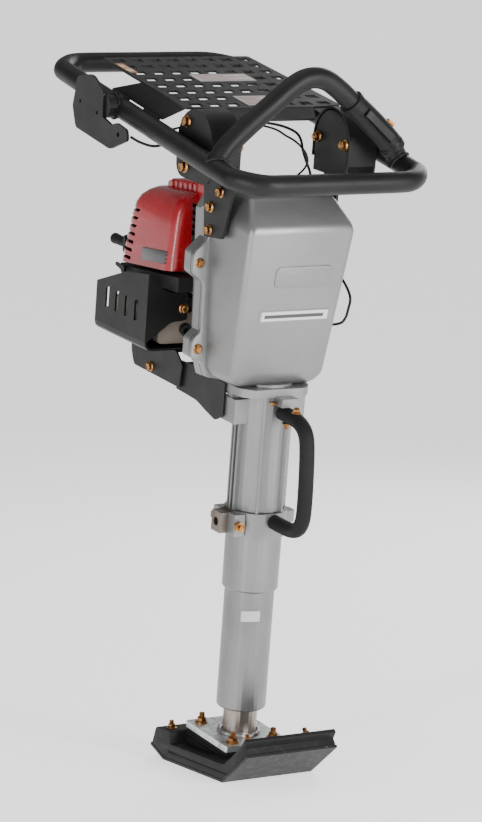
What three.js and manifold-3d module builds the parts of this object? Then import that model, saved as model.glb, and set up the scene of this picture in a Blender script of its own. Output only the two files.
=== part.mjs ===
// Petrol trench rammer: a narrow tamping rammer whose shoe strikes the ground on
// the end of a spring-loaded ram. Millimetres, +Z up, -Y is the front of the
// machine, +X its right-hand side. The origin is on the sole, under the ram axis.

import * as THREE from 'three';
import { mergeVertices } from 'three/addons/utils/BufferGeometryUtils.js';
import { ConvexGeometry } from 'three/addons/geometries/ConvexGeometry.js';
import Module from 'manifold-3d';

const wasm = await Module();
wasm.setup();

// ---------------------------------------------------------------- dimensions

const LEAN = THREE.MathUtils.degToRad(8.2);   // the ram axis leans forward
const GAP = 0.3;                              // clearance between touching pieces

// shoe, on the ground
const SHOE_WIDTH = 150;
const SOLE_FRONT = -90;
const SOLE_REAR = 88;
const SOLE_SHEET = 4;
const DECK_HEIGHT = 27;

// ram column, heights measured along the ram axis
const FOOT_PLATE_TOP = 53;
const FOOT_PLATE_THICK = 9;
const RAM_RADIUS = 25;
const RAM_BORE = 19;
const RAM_TOP = 455;
const LOWER_SLEEVE = { r: 36.5, wall: 3.2, from: 95, to: 345 };
const UPPER_SLEEVE = { r: 41, wall: 3.4, from: 277, to: 396 };
const CLAMP = { r: 46, from: 360.5, to: 397.5 };
const CYLINDER = { r: 39.5, ribs: 44.5, bore: 36, from: 398, to: 572 };
const HOUSING_FLOOR = 583.3;

// gearbox, axes parallel to Y
const PARTING = 30;                           // joint plane of the two housing halves
const GEAR_HEIGHT = 652;
const GEAR_TEETH = 54;
const PINION_TEETH = 10;
const MODULE = 2.25;
const CRANK_THROW = 20;
const ROD_LENGTH = 85;
const ENGINE_HEIGHT = GEAR_HEIGHT + MODULE * (GEAR_TEETH + PINION_TEETH) / 2;

// handle frame
const TUBE = 15;
const LOOP_HALF_WIDTH = 151;
const LOOP_FRONT = { y: -158, z: 901.5 };
const LOOP_REAR = { y: 432, z: 976 };
const BOW_Y = -72;
const ISOLATOR = { y: 14, z: 928 };
const SIDE_PLATE_X = 98;
const BRACKET_OUTER_X = 134.6;
const BRACKET_INNER_X = 88;

// ----------------------------------------------------------------- materials

function finish(color, roughness, metalness) {
  return () => new THREE.MeshStandardMaterial({ color, roughness, metalness });
}

const blackCoat = finish(0x232423, 0.6, 0.2);
const blackRubber = finish(0x1b1b1b, 0.85, 0);
const blackPlastic = finish(0x1f1f20, 0.5, 0);
const shoePlastic = finish(0x26272a, 0.7, 0);
const silverCast = finish(0xb9bab9, 0.45, 0.7);
const brushedTube = finish(0xb4b5b5, 0.35, 0.85);
const galvanised = finish(0xc3c8c8, 0.4, 0.8);
const darkSteel = finish(0x77787a, 0.35, 0.9);
const yellowZinc = finish(0xb8863a, 0.35, 0.85);
const redPlastic = finish(0xa01218, 0.25, 0);
const tankPlastic = finish(0xb8aea2, 0.4, 0);
const orangePlastic = finish(0xe07a18, 0.45, 0);

// ------------------------------------------------------------ solid modelling

function toSolid(geometry) {
  const bare = geometry.clone();
  bare.deleteAttribute('normal');
  bare.deleteAttribute('uv');
  const merged = mergeVertices(bare, 1e-4);
  return new wasm.Manifold(new wasm.Mesh({
    numProp: 3,
    vertProperties: Float32Array.from(merged.attributes.position.array),
    triVerts: Uint32Array.from(merged.index.array),
  }));
}

function toGeometry(solid) {
  const { vertProperties, triVerts } = solid.getMesh();
  const geometry = new THREE.BufferGeometry();
  geometry.setAttribute('position', new THREE.BufferAttribute(vertProperties, 3));
  geometry.setIndex(new THREE.BufferAttribute(triVerts, 1));
  return geometry;
}

function join(first, ...others) {
  return toGeometry(others.reduce((sum, g) => sum.add(toSolid(g)), toSolid(first)));
}

function cut(base, ...tools) {
  return toGeometry(tools.reduce((sum, g) => sum.subtract(toSolid(g)), toSolid(base)));
}

function overlap(first, second) {
  return toGeometry(toSolid(first).intersect(toSolid(second)));
}

// Outline of [u, v, cornerRadius] points, with rounded corners where a radius is given.
function outline(points) {
  const shape = new THREE.Shape();
  points.forEach(([u, v, radius = 0], i) => {
    const corner = new THREE.Vector2(u, v);
    if (radius === 0) {
      if (i === 0) shape.moveTo(u, v);
      else shape.lineTo(u, v);
      return;
    }
    const before = new THREE.Vector2(...points[(i + points.length - 1) % points.length]);
    const after = new THREE.Vector2(...points[(i + 1) % points.length]);
    const start = before.sub(corner).setLength(radius).add(corner);
    const end = after.sub(corner).setLength(radius).add(corner);
    if (i === 0) shape.moveTo(start.x, start.y);
    else shape.lineTo(start.x, start.y);
    shape.quadraticCurveTo(u, v, end.x, end.y);
  });
  return shape;
}

const PRISM_FRAMES = {
  x: [new THREE.Vector3(0, 1, 0), new THREE.Vector3(0, 0, 1), new THREE.Vector3(1, 0, 0)],
  y: [new THREE.Vector3(1, 0, 0), new THREE.Vector3(0, 0, 1), new THREE.Vector3(0, -1, 0)],
  z: [new THREE.Vector3(1, 0, 0), new THREE.Vector3(0, 1, 0), new THREE.Vector3(0, 0, 1)],
};

// A shape extruded along an axis. Its outline is in (y, z) for x, (x, z) for y, (x, y) for z.
function prism(shape, axis, from, to, curveSegments = 3) {
  const geometry = new THREE.ExtrudeGeometry(shape, {
    depth: to - from,
    bevelEnabled: false,
    curveSegments,
  });
  const [u, v, w] = PRISM_FRAMES[axis];
  geometry.applyMatrix4(new THREE.Matrix4().makeBasis(u, v, w));
  const start = axis === 'y' ? to : from;
  return geometry.translate(axis === 'x' ? start : 0, axis === 'y' ? start : 0, axis === 'z' ? start : 0);
}

function slab(points, axis, from, to, curveSegments) {
  return prism(outline(points), axis, from, to, curveSegments);
}

function block([x0, x1], [y0, y1], [z0, z1]) {
  return new THREE.BoxGeometry(x1 - x0, y1 - y0, z1 - z0)
    .translate((x0 + x1) / 2, (y0 + y1) / 2, (z0 + z1) / 2);
}

function turnTo(geometry, axis) {
  if (axis === 'x') return geometry.rotateZ(-Math.PI / 2);
  if (axis === 'z') return geometry.rotateX(Math.PI / 2);
  return geometry;
}

// A round bar along an axis, from one coordinate to another, centred on the other two.
function bar(axis, radius, from, to, [a, b] = [0, 0], sides = 20) {
  const length = to - from;
  const mid = (from + to) / 2;
  const geometry = turnTo(new THREE.CylinderGeometry(radius, radius, length, sides), axis);
  if (axis === 'x') return geometry.translate(mid, a, b);
  if (axis === 'y') return geometry.translate(a, mid, b);
  return geometry.translate(a, b, mid);
}

// A profile of [radius, height] points turned about the Z axis.
function turned(profile, sides = 24) {
  const points = profile.map(([r, h]) => new THREE.Vector2(r, h));
  return new THREE.LatheGeometry(points, sides).rotateX(Math.PI / 2);
}

// The open pipe between two radii. The profile closes on itself.
function pipe(outer, inner, from, to, sides = 28) {
  return turned([[inner, from], [outer, from], [outer, to], [inner, to], [inner, from]], sides);
}

function circle(radius, sides, [u, v] = [0, 0]) {
  const points = [];
  for (let i = 0; i < sides; i += 1) {
    const a = 2 * Math.PI * i / sides;
    points.push(new THREE.Vector2(u + radius * Math.cos(a), v + radius * Math.sin(a)));
  }
  return points;
}

// A round tube or wire that follows a curve.
function rope(curve, radius, sides, steps) {
  return new THREE.ExtrudeGeometry(new THREE.Shape(circle(radius, sides)), {
    steps,
    bevelEnabled: false,
    extrudePath: curve,
  });
}

function smooth(points, tension = 0.5) {
  const nodes = points.map((p) => new THREE.Vector3(...p));
  return new THREE.CatmullRomCurve3(nodes, false, 'catmullrom', tension);
}

function hull(points) {
  return new ConvexGeometry(points.map((p) => new THREE.Vector3(...p)));
}

function mirrored(points) {
  return points.flatMap(([x, y, z]) => [[x, y, z], [-x, y, z]]);
}

// -------------------------------------------------------------- scene helpers

const rammer = new THREE.Group();
const upright = new THREE.Group();            // everything that leans with the ram axis
upright.rotation.x = LEAN;
rammer.add(upright);

function add(name, geometry, material, parent = upright) {
  const mesh = new THREE.Mesh(geometry, material());
  mesh.name = name;
  parent.add(mesh);
  return mesh;
}

// ----------------------------------------------------------------------- shoe

const HALF_SHOE = SHOE_WIDTH / 2;

const solePlate = slab([
  [SOLE_REAR, 0],
  [127, 15.5],
  [125.4, 15.5 + SOLE_SHEET],
  [SOLE_REAR - 0.8, SOLE_SHEET],
  [SOLE_FRONT + 1.4, SOLE_SHEET],
  [-160.7, 53.2],
  [-163, 50],
  [SOLE_FRONT, 0],
], 'x', -HALF_SHOE, HALF_SHOE);

const shoeBlock = slab([
  [SOLE_REAR - 1, SOLE_SHEET + GAP],
  [123, 15.5 + SOLE_SHEET],
  [110, 46, 4],
  [69, 46, 3],
  [66, DECK_HEIGHT],
  [-96, DECK_HEIGHT, 4],
  [-143, 62, 2],
  [-155, 76, 2],
  [-160, 71.5, 2],
  [-153, 61],
  [-158.4, 53.2],
  [SOLE_FRONT + 1.2, SOLE_SHEET + GAP],
], 'x', -HALF_SHOE + 0.5, HALF_SHOE - 0.5);

add('sole_plate', solePlate, darkSteel, rammer);

const DECK_BOLTS = [[-34, -41], [34, -41], [-34, 52], [34, 52]];
const FOOT_PLATE_BASE = FOOT_PLATE_TOP - FOOT_PLATE_THICK;
const BOLT_BORE = 5.6;

// The pad is a wedge: its top is square to the ram axis, its base is level with the deck.
const toUpright = new THREE.Matrix4().makeRotationX(-LEAN);

function levelInUpright(geometry) {
  return geometry.applyMatrix4(toUpright);
}

const padBody = block([-50, 50], [-55, 66], [10, FOOT_PLATE_BASE - GAP]);
const belowDeck = levelInUpright(block([-90, 90], [-120, 120], [-40, DECK_HEIGHT + GAP]));
const padGrooves = [37, 31].map((z) => cut(
  block([-60, 60], [-65, 76], [z - 0.9, z + 0.9]),
  block([-48.5, 48.5], [-53.5, 64.5], [z - 2, z + 2]),
));
const boltHoles = DECK_BOLTS.map(([x, y]) => bar('z', BOLT_BORE, 0, 70, [x, y], 12));
add('wedge_pad', cut(padBody, belowDeck, ...padGrooves, ...boltHoles), blackRubber);

const boltPockets = DECK_BOLTS.map(([x, y]) => bar('z', 7, 6 - y * 0.14 + 4, 70, [x, y], 12));
const pocketsInShoe = boltPockets.map((g) => g.applyMatrix4(new THREE.Matrix4().makeRotationX(LEAN)));
add('shoe_block', cut(shoeBlock, ...pocketsInShoe), shoePlastic, rammer);

const footPlate = slab([
  [-52, -55, 4],
  [52, -55, 4],
  [52, 68, 4],
  [-52, 68, 4],
], 'z', FOOT_PLATE_BASE, FOOT_PLATE_TOP);
add('foot_plate', cut(footPlate, ...boltHoles), galvanised);

// Bolt shank with a flanged hexagon nut on top of the plate.
function stud(x, y, base) {
  const flange = bar('z', 9.5, FOOT_PLATE_TOP + GAP, FOOT_PLATE_TOP + 2.6, [x, y], 14);
  const nut = bar('z', 8, FOOT_PLATE_TOP + 2, FOOT_PLATE_TOP + 11, [x, y], 6);
  const shank = bar('z', 5, base, FOOT_PLATE_TOP + 16, [x, y], 10);
  return join(shank, nut, flange);
}

DECK_BOLTS.forEach(([x, y], i) => {
  add(`plate_bolt_${i + 1}`, stud(x, y, 24 - y * 0.14), yellowZinc);
});

// ------------------------------------------------------------------ ram tube

const ramTube = turned([
  [0, FOOT_PLATE_TOP + GAP],
  [RAM_RADIUS + 4, FOOT_PLATE_TOP + GAP],
  [RAM_RADIUS, FOOT_PLATE_TOP + 6],
  [RAM_RADIUS, RAM_TOP],
  [RAM_BORE, RAM_TOP],
  [RAM_BORE, FOOT_PLATE_TOP + 14],
  [0, FOOT_PLATE_TOP + 14],
]);
add('ram_tube', ramTube, darkSteel);

const PISTON_ROD_RADIUS = 9;
const ramCap = turned([
  [PISTON_ROD_RADIUS + 0.6, RAM_TOP - 16],
  [RAM_BORE - GAP, RAM_TOP - 16],
  [RAM_BORE - GAP, RAM_TOP + GAP],
  [RAM_RADIUS, RAM_TOP + GAP],
  [RAM_RADIUS, RAM_TOP + 6],
  [PISTON_ROD_RADIUS + 0.6, RAM_TOP + 6],
  [PISTON_ROD_RADIUS + 0.6, RAM_TOP - 16],
]);
add('ram_cap', ramCap, darkSteel);

class Coil extends THREE.Curve {
  constructor(radius, from, to, turns) {
    super();
    Object.assign(this, { radius, from, to, turns });
  }

  getPoint(t, target = new THREE.Vector3()) {
    const a = 2 * Math.PI * this.turns * t;
    const z = this.from + (this.to - this.from) * t;
    return target.set(this.radius * Math.cos(a), this.radius * Math.sin(a), z);
  }
}

const PISTON = { from: 240, to: 256 };
add('lower_spring', rope(new Coil(15.5, 70, PISTON.from - 3, 5), 2.2, 5, 45), darkSteel);
add('upper_spring', rope(new Coil(15.5, PISTON.to + 3, RAM_TOP - 19, 5), 2.2, 5, 45), darkSteel);

// ------------------------------------------------- sleeves, bushes and clamp

function sleeve({ r, wall, from, to }) {
  return turned([
    [r - wall, from],
    [r - 1.5, from],
    [r, from + 2],
    [r, to],
    [r - wall, to],
    [r - wall, from],
  ], 36);
}

add('lower_sleeve', sleeve(LOWER_SLEEVE), brushedTube);
add('upper_sleeve', sleeve(UPPER_SLEEVE), brushedTube);

const SLEEVE_BORE = LOWER_SLEEVE.r - LOWER_SLEEVE.wall;
add('guide_bush', pipe(SLEEVE_BORE - GAP, RAM_RADIUS + GAP, 97, 137), blackPlastic);

// The collar's ears are drawn together by a cross bolt, through a block with a tapped hole.
const EAR = { x: -53, front: -33, rear: 29, slot: 13 };
const CLAMP_BOLT = { at: [-47, 380], r: 4, bore: 4.6, head: 8 };
const clampRing = cut(
  join(
    bar('z', CLAMP.r, CLAMP.from, CLAMP.to, [0, 0], 32),
    block([EAR.x, -36], [EAR.front, EAR.rear], [CLAMP.from + 4, CLAMP.to - 1]),
    slab([[40, -14, 5], [62, -10, 5], [62, 12, 5], [40, 14]], 'z', CLAMP.from + 12, CLAMP.to - 8),
  ),
  bar('z', UPPER_SLEEVE.r + GAP, CLAMP.from - 5, CLAMP.to + 5, [0, 0], 32),
  block([EAR.x - 10, -41.6], [-EAR.slot, EAR.slot], [CLAMP.from - 5, CLAMP.to + 5]),
  bar('y', CLAMP_BOLT.bore, -50, 50, CLAMP_BOLT.at, 12),
);
add('clamp_collar', clampRing, silverCast);

const clampBlock = cut(
  block([-65, -42], [-EAR.slot + GAP, EAR.slot - GAP], [365, 395]),
  bar('y', CLAMP_BOLT.bore, -20, 20, CLAMP_BOLT.at, 12),
  bar('x', 6.5, -70, -54, [0, CLAMP_BOLT.at[1]], 16),
);
add('clamp_block', clampBlock, darkSteel);

const clampBolt = join(
  bar('y', CLAMP_BOLT.r, EAR.front - 12, EAR.rear + 5, CLAMP_BOLT.at, 10),
  bar('y', CLAMP_BOLT.head, EAR.front - 8, EAR.front - GAP, CLAMP_BOLT.at, 6),
  bar('y', CLAMP_BOLT.head, EAR.rear + GAP, EAR.rear + 6.5, CLAMP_BOLT.at, 6),
);
add('clamp_bolt', clampBolt, yellowZinc);

// ------------------------------------------------------------ ribbed cylinder

// Ribs stand in threes at the left and right, and singly between them.
const RIB_ANGLES = [0, 12, 62, 118, 168, 180, 192, 242, 298, 348];

function ribbedOutline() {
  const halfRib = THREE.MathUtils.degToRad(3.2);
  const points = [];
  RIB_ANGLES.forEach((degrees, i) => {
    const a = THREE.MathUtils.degToRad(degrees);
    const next = THREE.MathUtils.degToRad(i + 1 < RIB_ANGLES.length ? RIB_ANGLES[i + 1] : 360);
    const polar = (r, angle) => points.push(new THREE.Vector2(r * Math.cos(angle), r * Math.sin(angle)));
    polar(CYLINDER.r, a - halfRib);
    polar(CYLINDER.ribs, a - halfRib * 0.8);
    polar(CYLINDER.ribs, a + halfRib * 0.8);
    polar(CYLINDER.r, a + halfRib);
    const steps = Math.round((next - a) / 0.3);
    for (let k = 1; k < steps; k += 1) polar(CYLINDER.r, a + (next - a) * k / steps);
  });
  return new THREE.Shape(points);
}

const LUG = { x: 58, y: 19, from: 528, to: 564 };
const cylinderBody = cut(
  join(
    prism(ribbedOutline(), 'z', CYLINDER.from, CYLINDER.to),
    slab([
      [-58, -26, 6], [-42, -46, 6], [42, -46, 6], [58, -26, 6],
      [58, 42, 6], [46, 52, 6], [-46, 52, 6], [-58, 42, 6],
    ], 'z', CYLINDER.to - 1, HOUSING_FLOOR - GAP),
    block([-LUG.x, LUG.x], [-LUG.y, LUG.y], [LUG.from, LUG.to]),
    slab([[-44, 530], [-57, 566], [-57, 573], [57, 573], [57, 566], [44, 530]], 'y', -5, 5),
    block([-8, 18], [-66, -36], [560.5, 573]),
  ),
  bar('z', CYLINDER.bore, CYLINDER.from - 5, HOUSING_FLOOR + 5, [0, 0], 32),
);
add('guide_cylinder', cylinderBody, silverCast);
add('upper_bush', pipe(CYLINDER.bore - GAP, RAM_RADIUS + GAP, 400, 436), blackPlastic);

// ------------------------------------------------------------- carry handle

const carryPath = smooth([
  [5, -46, 548.5],
  [5, -70, 548],
  [5, -96, 545],
  [5, -113, 534],
  [5, -120, 514],
  [5, -124, 470],
  [5, -125, 428],
  [5, -122, 407],
  [5, -111, 393],
  [5, -92, 387],
  [5, -68, 386],
  [5, -47.5, 386],
]);
add('carry_handle', rope(carryPath, 11, 10, 24), blackRubber);

// -------------------------------------------------------------- gear housing

const COVER_OUTER = mirrored([
  [60, -26, HOUSING_FLOOR], [60, PARTING, HOUSING_FLOOR],
  [75, -34, 597], [88, PARTING, 597],
  [86, -76, 822], [95, PARTING, 832],
  [69, -37, 860], [69, PARTING, 862],
]);
const COVER_INNER = mirrored([
  [48, -20, 588], [48, PARTING + 5, 588],
  [69, -29, 602], [82, PARTING + 5, 602],
  [80, -70, 819], [89, PARTING + 5, 829],
  [65, -34, 854], [65, PARTING + 5, 856],
]);

// Joint flange with four bolting lugs, wider than the cover.
const FLANGE_SIDE = [
  [60, HOUSING_FLOOR], [88, 590], [95, 612], [112, 619, 4], [112, 646, 4], [99, 657],
  [100, 728], [119, 742, 4], [119, 772, 4], [97, 792], [96.5, 834], [71, 866],
];
const FLANGE = FLANGE_SIDE.concat([...FLANGE_SIDE].reverse().map(([x, z, r]) => [-x, z, r]));

// Way through the cover's floor for the crosshead fork.
const FORK_WAY = block([-34, 34], [-24, PARTING + 5], [HOUSING_FLOOR - 20, 600]);

// Lip that closes the mouth of the cylinder in front of the cover.
const MOUTH_LIP = slab([
  [-30, -18], [-30, -30, 8], [-12, -39, 8], [12, -39, 8], [30, -30, 8], [30, -18],
], 'z', HOUSING_FLOOR, HOUSING_FLOOR + 4);
const frontCover = cut(
  join(hull(COVER_OUTER), slab(FLANGE, 'y', PARTING - 9, PARTING), MOUTH_LIP),
  hull(COVER_INNER),
  FORK_WAY,
);
add('front_cover', frontCover, silverCast);

const REAR_WALL = 80;
const rearOuter = mirrored([
  [60, PARTING + 1, HOUSING_FLOOR], [56, REAR_WALL - 6, HOUSING_FLOOR + 4],
  [88, PARTING + 1, 592], [80, REAR_WALL, 604],
  [95, PARTING + 1, 832], [88, REAR_WALL, 826],
  [70, PARTING + 1, 872], [64, REAR_WALL, 868],
]);
const rearInner = mirrored([
  [50, PARTING - 5, 588], [48, REAR_WALL - 10, 592],
  [82, PARTING - 5, 602], [76, REAR_WALL - 8, 610],
  [89, PARTING - 5, 829], [82, REAR_WALL - 8, 820],
  [65, PARTING - 5, 862], [60, REAR_WALL - 8, 860],
]);
const rearShell = cut(
  join(hull(rearOuter), slab(FLANGE, 'y', PARTING + GAP, PARTING + 18)),
  hull(rearInner),
);
const GEAR_BORE = 12;
const DRUM_BORE = 9;
const rearHousing = cut(
  join(
    rearShell,
    bar('y', 22, 46, REAR_WALL - 4, [0, GEAR_HEIGHT], 20),
    bar('y', 18, 50, REAR_WALL - 4, [0, ENGINE_HEIGHT], 20),
    cut(bar('y', 56, REAR_WALL - 2, 128, [0, ENGINE_HEIGHT], 28),
      bar('y', 50, REAR_WALL + 4, 130, [0, ENGINE_HEIGHT], 28)),
  ),
  bar('y', GEAR_BORE + GAP, 30, REAR_WALL - 6, [0, GEAR_HEIGHT], 20),
  bar('y', DRUM_BORE + GAP, 30, REAR_WALL + 10, [0, ENGINE_HEIGHT], 20),
);
add('rear_housing', rearHousing, silverCast);

// ---------------------------------------------------------------- gear train

function gearOutline(teeth, phase) {
  const pitch = MODULE * teeth / 2;
  const tip = pitch + MODULE * 0.85;
  const root = pitch - MODULE * 1.15;
  const step = 2 * Math.PI / teeth;
  const shape = [];
  for (let i = 0; i < teeth; i += 1) {
    const a = phase + i * step;
    [[-0.29, root], [-0.1, tip], [0.1, tip], [0.29, root]].forEach(([turn, r]) => {
      shape.push(new THREE.Vector2(r * Math.cos(a + turn * step), r * Math.sin(a + turn * step)));
    });
  }
  return new THREE.Shape(shape);
}

function gear(teeth, phase, from, to, height) {
  return prism(gearOutline(teeth, phase), 'y', from, to).translate(0, 0, height);
}

// The pinion stands above the gear. A gap of the pinion faces down at the meshing point.
const gearPhase = Math.PI / 2;
const pinionPhase = -Math.PI / 2 + Math.PI / PINION_TEETH;
const CRANK_PIN_RADIUS = 9;
const CRANK_PIN_HEIGHT = GEAR_HEIGHT - CRANK_THROW;
const crankGear = join(
  gear(GEAR_TEETH, gearPhase, 24, 38, GEAR_HEIGHT),
  bar('y', GEAR_BORE, 37, REAR_WALL - 8, [0, GEAR_HEIGHT], 20),
  bar('y', CRANK_PIN_RADIUS, -10, 26, [0, CRANK_PIN_HEIGHT]),
);
const gearWindows = [0, 1, 2].map((i) => {
  const a = Math.PI / 2 + (i - 1) * 0.95;
  return bar('y', 12, 10, 50, [38 * Math.cos(a), GEAR_HEIGHT + 38 * Math.sin(a)], 16);
});
add('crank_gear', cut(crankGear, ...gearWindows), darkSteel);

const WRIST_HEIGHT = CRANK_PIN_HEIGHT - ROD_LENGTH;

const rod = cut(
  join(
    bar('y', 16, -8, 8, [0, CRANK_PIN_HEIGHT], 24),
    bar('y', 12, -8, 8, [0, WRIST_HEIGHT], 24),
    block([-7, 7], [-4, 4], [WRIST_HEIGHT, CRANK_PIN_HEIGHT]),
  ),
  bar('y', CRANK_PIN_RADIUS + GAP, -10, 10, [0, CRANK_PIN_HEIGHT], 24),
  bar('y', 6 + GAP, -10, 10, [0, WRIST_HEIGHT], 24),
);
add('connecting_rod', rod, darkSteel);
add('wrist_pin', bar('y', 6, -11, 11, [0, WRIST_HEIGHT], 16), brushedTube);

// Crosshead fork, piston rod and piston disc in one. The connecting rod swings in its slot.
const crosshead = cut(
  join(
    bar('z', 34, 472, 560, [0, 0], 28),
    bar('z', PISTON_ROD_RADIUS, PISTON.from, 480, [0, 0], 18),
    bar('z', RAM_BORE - 0.5, PISTON.from, PISTON.to, [0, 0], 24),
  ),
  block([-40, 40], [-12, 12], [486, 570]),
  block([-40, -18], [-40, 40], [486, 570]),
  block([18, 40], [-40, 40], [486, 570]),
  block([-40, 40], [22, 40], [542, 570]),
  block([-40, 40], [-40, -22], [542, 570]),
);
add('piston_rod', crosshead, darkSteel);

const pinion = join(
  gear(PINION_TEETH, pinionPhase, 24, 40, ENGINE_HEIGHT),
  bar('y', DRUM_BORE, 39, 92, [0, ENGINE_HEIGHT], 16),
);
add('pinion_shaft', pinion, darkSteel);

const drum = cut(
  bar('y', 42, 92 + GAP, 122, [0, ENGINE_HEIGHT], 28),
  bar('y', 38, 96, 130, [0, ENGINE_HEIGHT], 28),
);
add('clutch_drum', drum, darkSteel);

// -------------------------------------------------------------------- engine

const clutchRotor = cut(
  bar('y', 36, 98, 118, [0, ENGINE_HEIGHT], 28),
  block([-2, 2], [90, 130], [ENGINE_HEIGHT - 40, ENGINE_HEIGHT - 14]),
  block([-2, 2], [90, 130], [ENGINE_HEIGHT + 14, ENGINE_HEIGHT + 40]),
  bar('y', 8 + GAP, 90, 130, [0, ENGINE_HEIGHT], 16),
);
add('clutch_rotor', clutchRotor, darkSteel);

const FAN = { from: 232, to: 256, r: 46 };
const crankshaft = bar('y', 8, 97, FAN.to + 4, [0, ENGINE_HEIGHT], 16);
add('crankshaft', crankshaft, brushedTube);

const fanBlades = [];
for (let i = 0; i < 10; i += 1) {
  const blade = block([16, FAN.r - 2], [FAN.from + 4, FAN.to], [-1.5, 1.5]).rotateY(2 * Math.PI * i / 10);
  fanBlades.push(blade.translate(0, 0, ENGINE_HEIGHT));
}
const flywheel = cut(
  join(bar('y', FAN.r, FAN.from, FAN.from + 6, [0, ENGINE_HEIGHT], 24),
    bar('y', 20, FAN.from, FAN.to, [0, ENGINE_HEIGHT], 16), ...fanBlades),
  bar('y', 8 + GAP, FAN.from - 5, FAN.to + 5, [0, ENGINE_HEIGHT], 16),
);
add('flywheel_fan', flywheel, silverCast);

const fins = [0, 1, 2, 3, 4].map((i) => block([-42, 42], [146, 222], [772 + i * 10, 776 + i * 10]));
const engineBlock = cut(
  join(
    bar('y', 54, 128 + GAP, 140, [0, ENGINE_HEIGHT], 24),
    block([-46, 46], [136, 224], [ENGINE_HEIGHT - 42, ENGINE_HEIGHT + 44]),
    block([-34, 34], [150, 216], [760, 820]),
    ...fins,
  ),
  bar('y', 8 + GAP, 120, 240, [0, ENGINE_HEIGHT], 16),
  bar('y', 30, 142, 218, [0, ENGINE_HEIGHT], 20),
);
add('engine_block', engineBlock, silverCast);

// Red cooling shroud: a rounded hood, open below and in front, with louvres around its
// rear left corner. Each layer: front and rear heights, half width, front, rear, corner cut.
const HOOD_LAYERS = [
  [720, 703, 95, 132, 295, 26],
  [762, 752, 92, 132, 290, 30],
  [803, 797, 87, 134, 284, 32],
  [825, 816, 76, 138, 270, 32],
  [835, 824, 54, 144, 246, 24],
];
const HOOD_RIGHT = 0.8;                       // the right side is narrower

function hood(inset) {
  return HOOD_LAYERS.flatMap(([frontZ, rearZ, half, front, rear, corner], i) => {
    const h = half - inset;
    const drop = i > 2 ? inset : 0;
    const extend = i === 0 && inset > 0 ? 12 : 0;
    const zf = frontZ - drop - extend;
    const zr = rearZ - drop - extend;
    const y = rear - inset;
    return [
      [-h, front + inset, zf], [h * HOOD_RIGHT, front + inset, zf],
      [-h, y - corner, zr], [-h + corner * 0.3, y - corner * 0.3, zr], [-h + corner, y, zr],
      [h * HOOD_RIGHT - corner, y, zr], [h * HOOD_RIGHT - corner * 0.3, y - corner * 0.3, zr],
      [h * HOOD_RIGHT, y - corner, zr],
    ];
  });
}

const LOUVRES = 7;
const louvres = [];
for (let i = 0; i < LOUVRES; i += 1) {
  const z = 712 + i * 12;
  louvres.push(block([-110, -64], [257 - i * 1.5, 320], [z, z + 5]));
}
const shroud = cut(
  hull(hood(0)),
  hull(hood(3)),
  ...louvres,
  bar('y', 50, 250, 320, [0, ENGINE_HEIGHT], 28),
  block([-62, 62], [125, 150], [680, 818]),
);
add('engine_shroud', shroud, redPlastic);

// Ribbed red duct that rises out of the shroud's top, towards the front.
const DUCT = { left: -49, right: -25, front: 128, rear: 236, ribs: 6 };
const ductSide = [
  [DUCT.front, 838.5], [DUCT.front, 846, 4], [DUCT.rear, 834, 4], [DUCT.rear, 827],
];
const ductRibs = [];
for (let i = 0; i < DUCT.ribs; i += 1) {
  const y = DUCT.rear - 12 - i * 14;
  const top = 836.5 + (DUCT.rear - y) * 0.11;
  ductRibs.push(block([DUCT.left - 2, DUCT.right + 2], [y - 5, y], [top - 6, top]));
}
const duct = join(slab(ductSide, 'x', DUCT.left, DUCT.right), ...ductRibs);
add('top_duct', duct, redPlastic);

const recoilCover = cut(
  join(
    bar('y', 49, 262, 308, [0, ENGINE_HEIGHT], 28),
    bar('y', 34, 306, 318, [0, ENGINE_HEIGHT], 28),
    slab([[-80, 712, 4], [-40, 706], [-40, 742], [-80, 738, 4]], 'y', 299, 305),
  ),
  bar('y', 45, 255, 304, [0, ENGINE_HEIGHT], 28),
  bar('y', 8, 298, 330, [0, ENGINE_HEIGHT], 16),
);
add('recoil_cover', recoilCover, blackPlastic);

const GRIP = { x: -70, z: 724 };
const grip = turnTo(new THREE.LatheGeometry([
  [0, 0], [7, 0], [8.5, 4], [7, 22], [8.5, 42], [6.5, 47], [0, 47],
].map(([r, h]) => new THREE.Vector2(r, h)), 16), 'y').translate(GRIP.x, 305 + GAP, GRIP.z);
add('recoil_grip', grip, blackRubber);

// Air cleaner and lower case: a cradle under the engine with a lobe along its left side.
const airCleaner = cut(
  join(
    hull([
      [-97, 100, 717.5], [-97, 285, 699], [-62, 297, 699], [-60, 100, 717.5],
      [-92, 108, 694], [-92, 273, 684], [-62, 279, 684], [-60, 108, 694],
    ]),
    hull([
      [-90, 158, 700], [76, 158, 700], [76, 294, 700], [-90, 290, 700],
      [-80, 162, 655], [68, 162, 655], [68, 280, 655], [-80, 276, 655],
    ]),
  ),
  block([-61, 61], [90, 310], [672, 740]),
);
add('air_cleaner_case', airCleaner, blackPlastic);

const TANK_TOP = 651;
const FILLER = { at: [48, 632], from: 286 };
const tank = cut(
  slab([
    [-92, 606, 8], [88, 606, 8], [88, TANK_TOP, 6], [-92, TANK_TOP, 6],
  ], 'y', 158, 297),
  bar('y', 15, FILLER.from, 310, FILLER.at, 20),
);
add('fuel_tank', tank, tankPlastic);

const cap = join(
  bar('y', 14, FILLER.from + GAP, 300, FILLER.at, 18),
  bar('y', 17, 297 + GAP, 311, FILLER.at, 12),
);
add('fuel_cap', cap, blackPlastic);

const muffler = join(
  slab([[80, 700, 6], [112, 704, 8], [112, 790, 8], [80, 800, 6]], 'y', 150, 250),
  block([109, 118], [165, 190], [712, 726]),
);
add('muffler', muffler, darkSteel);

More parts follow.
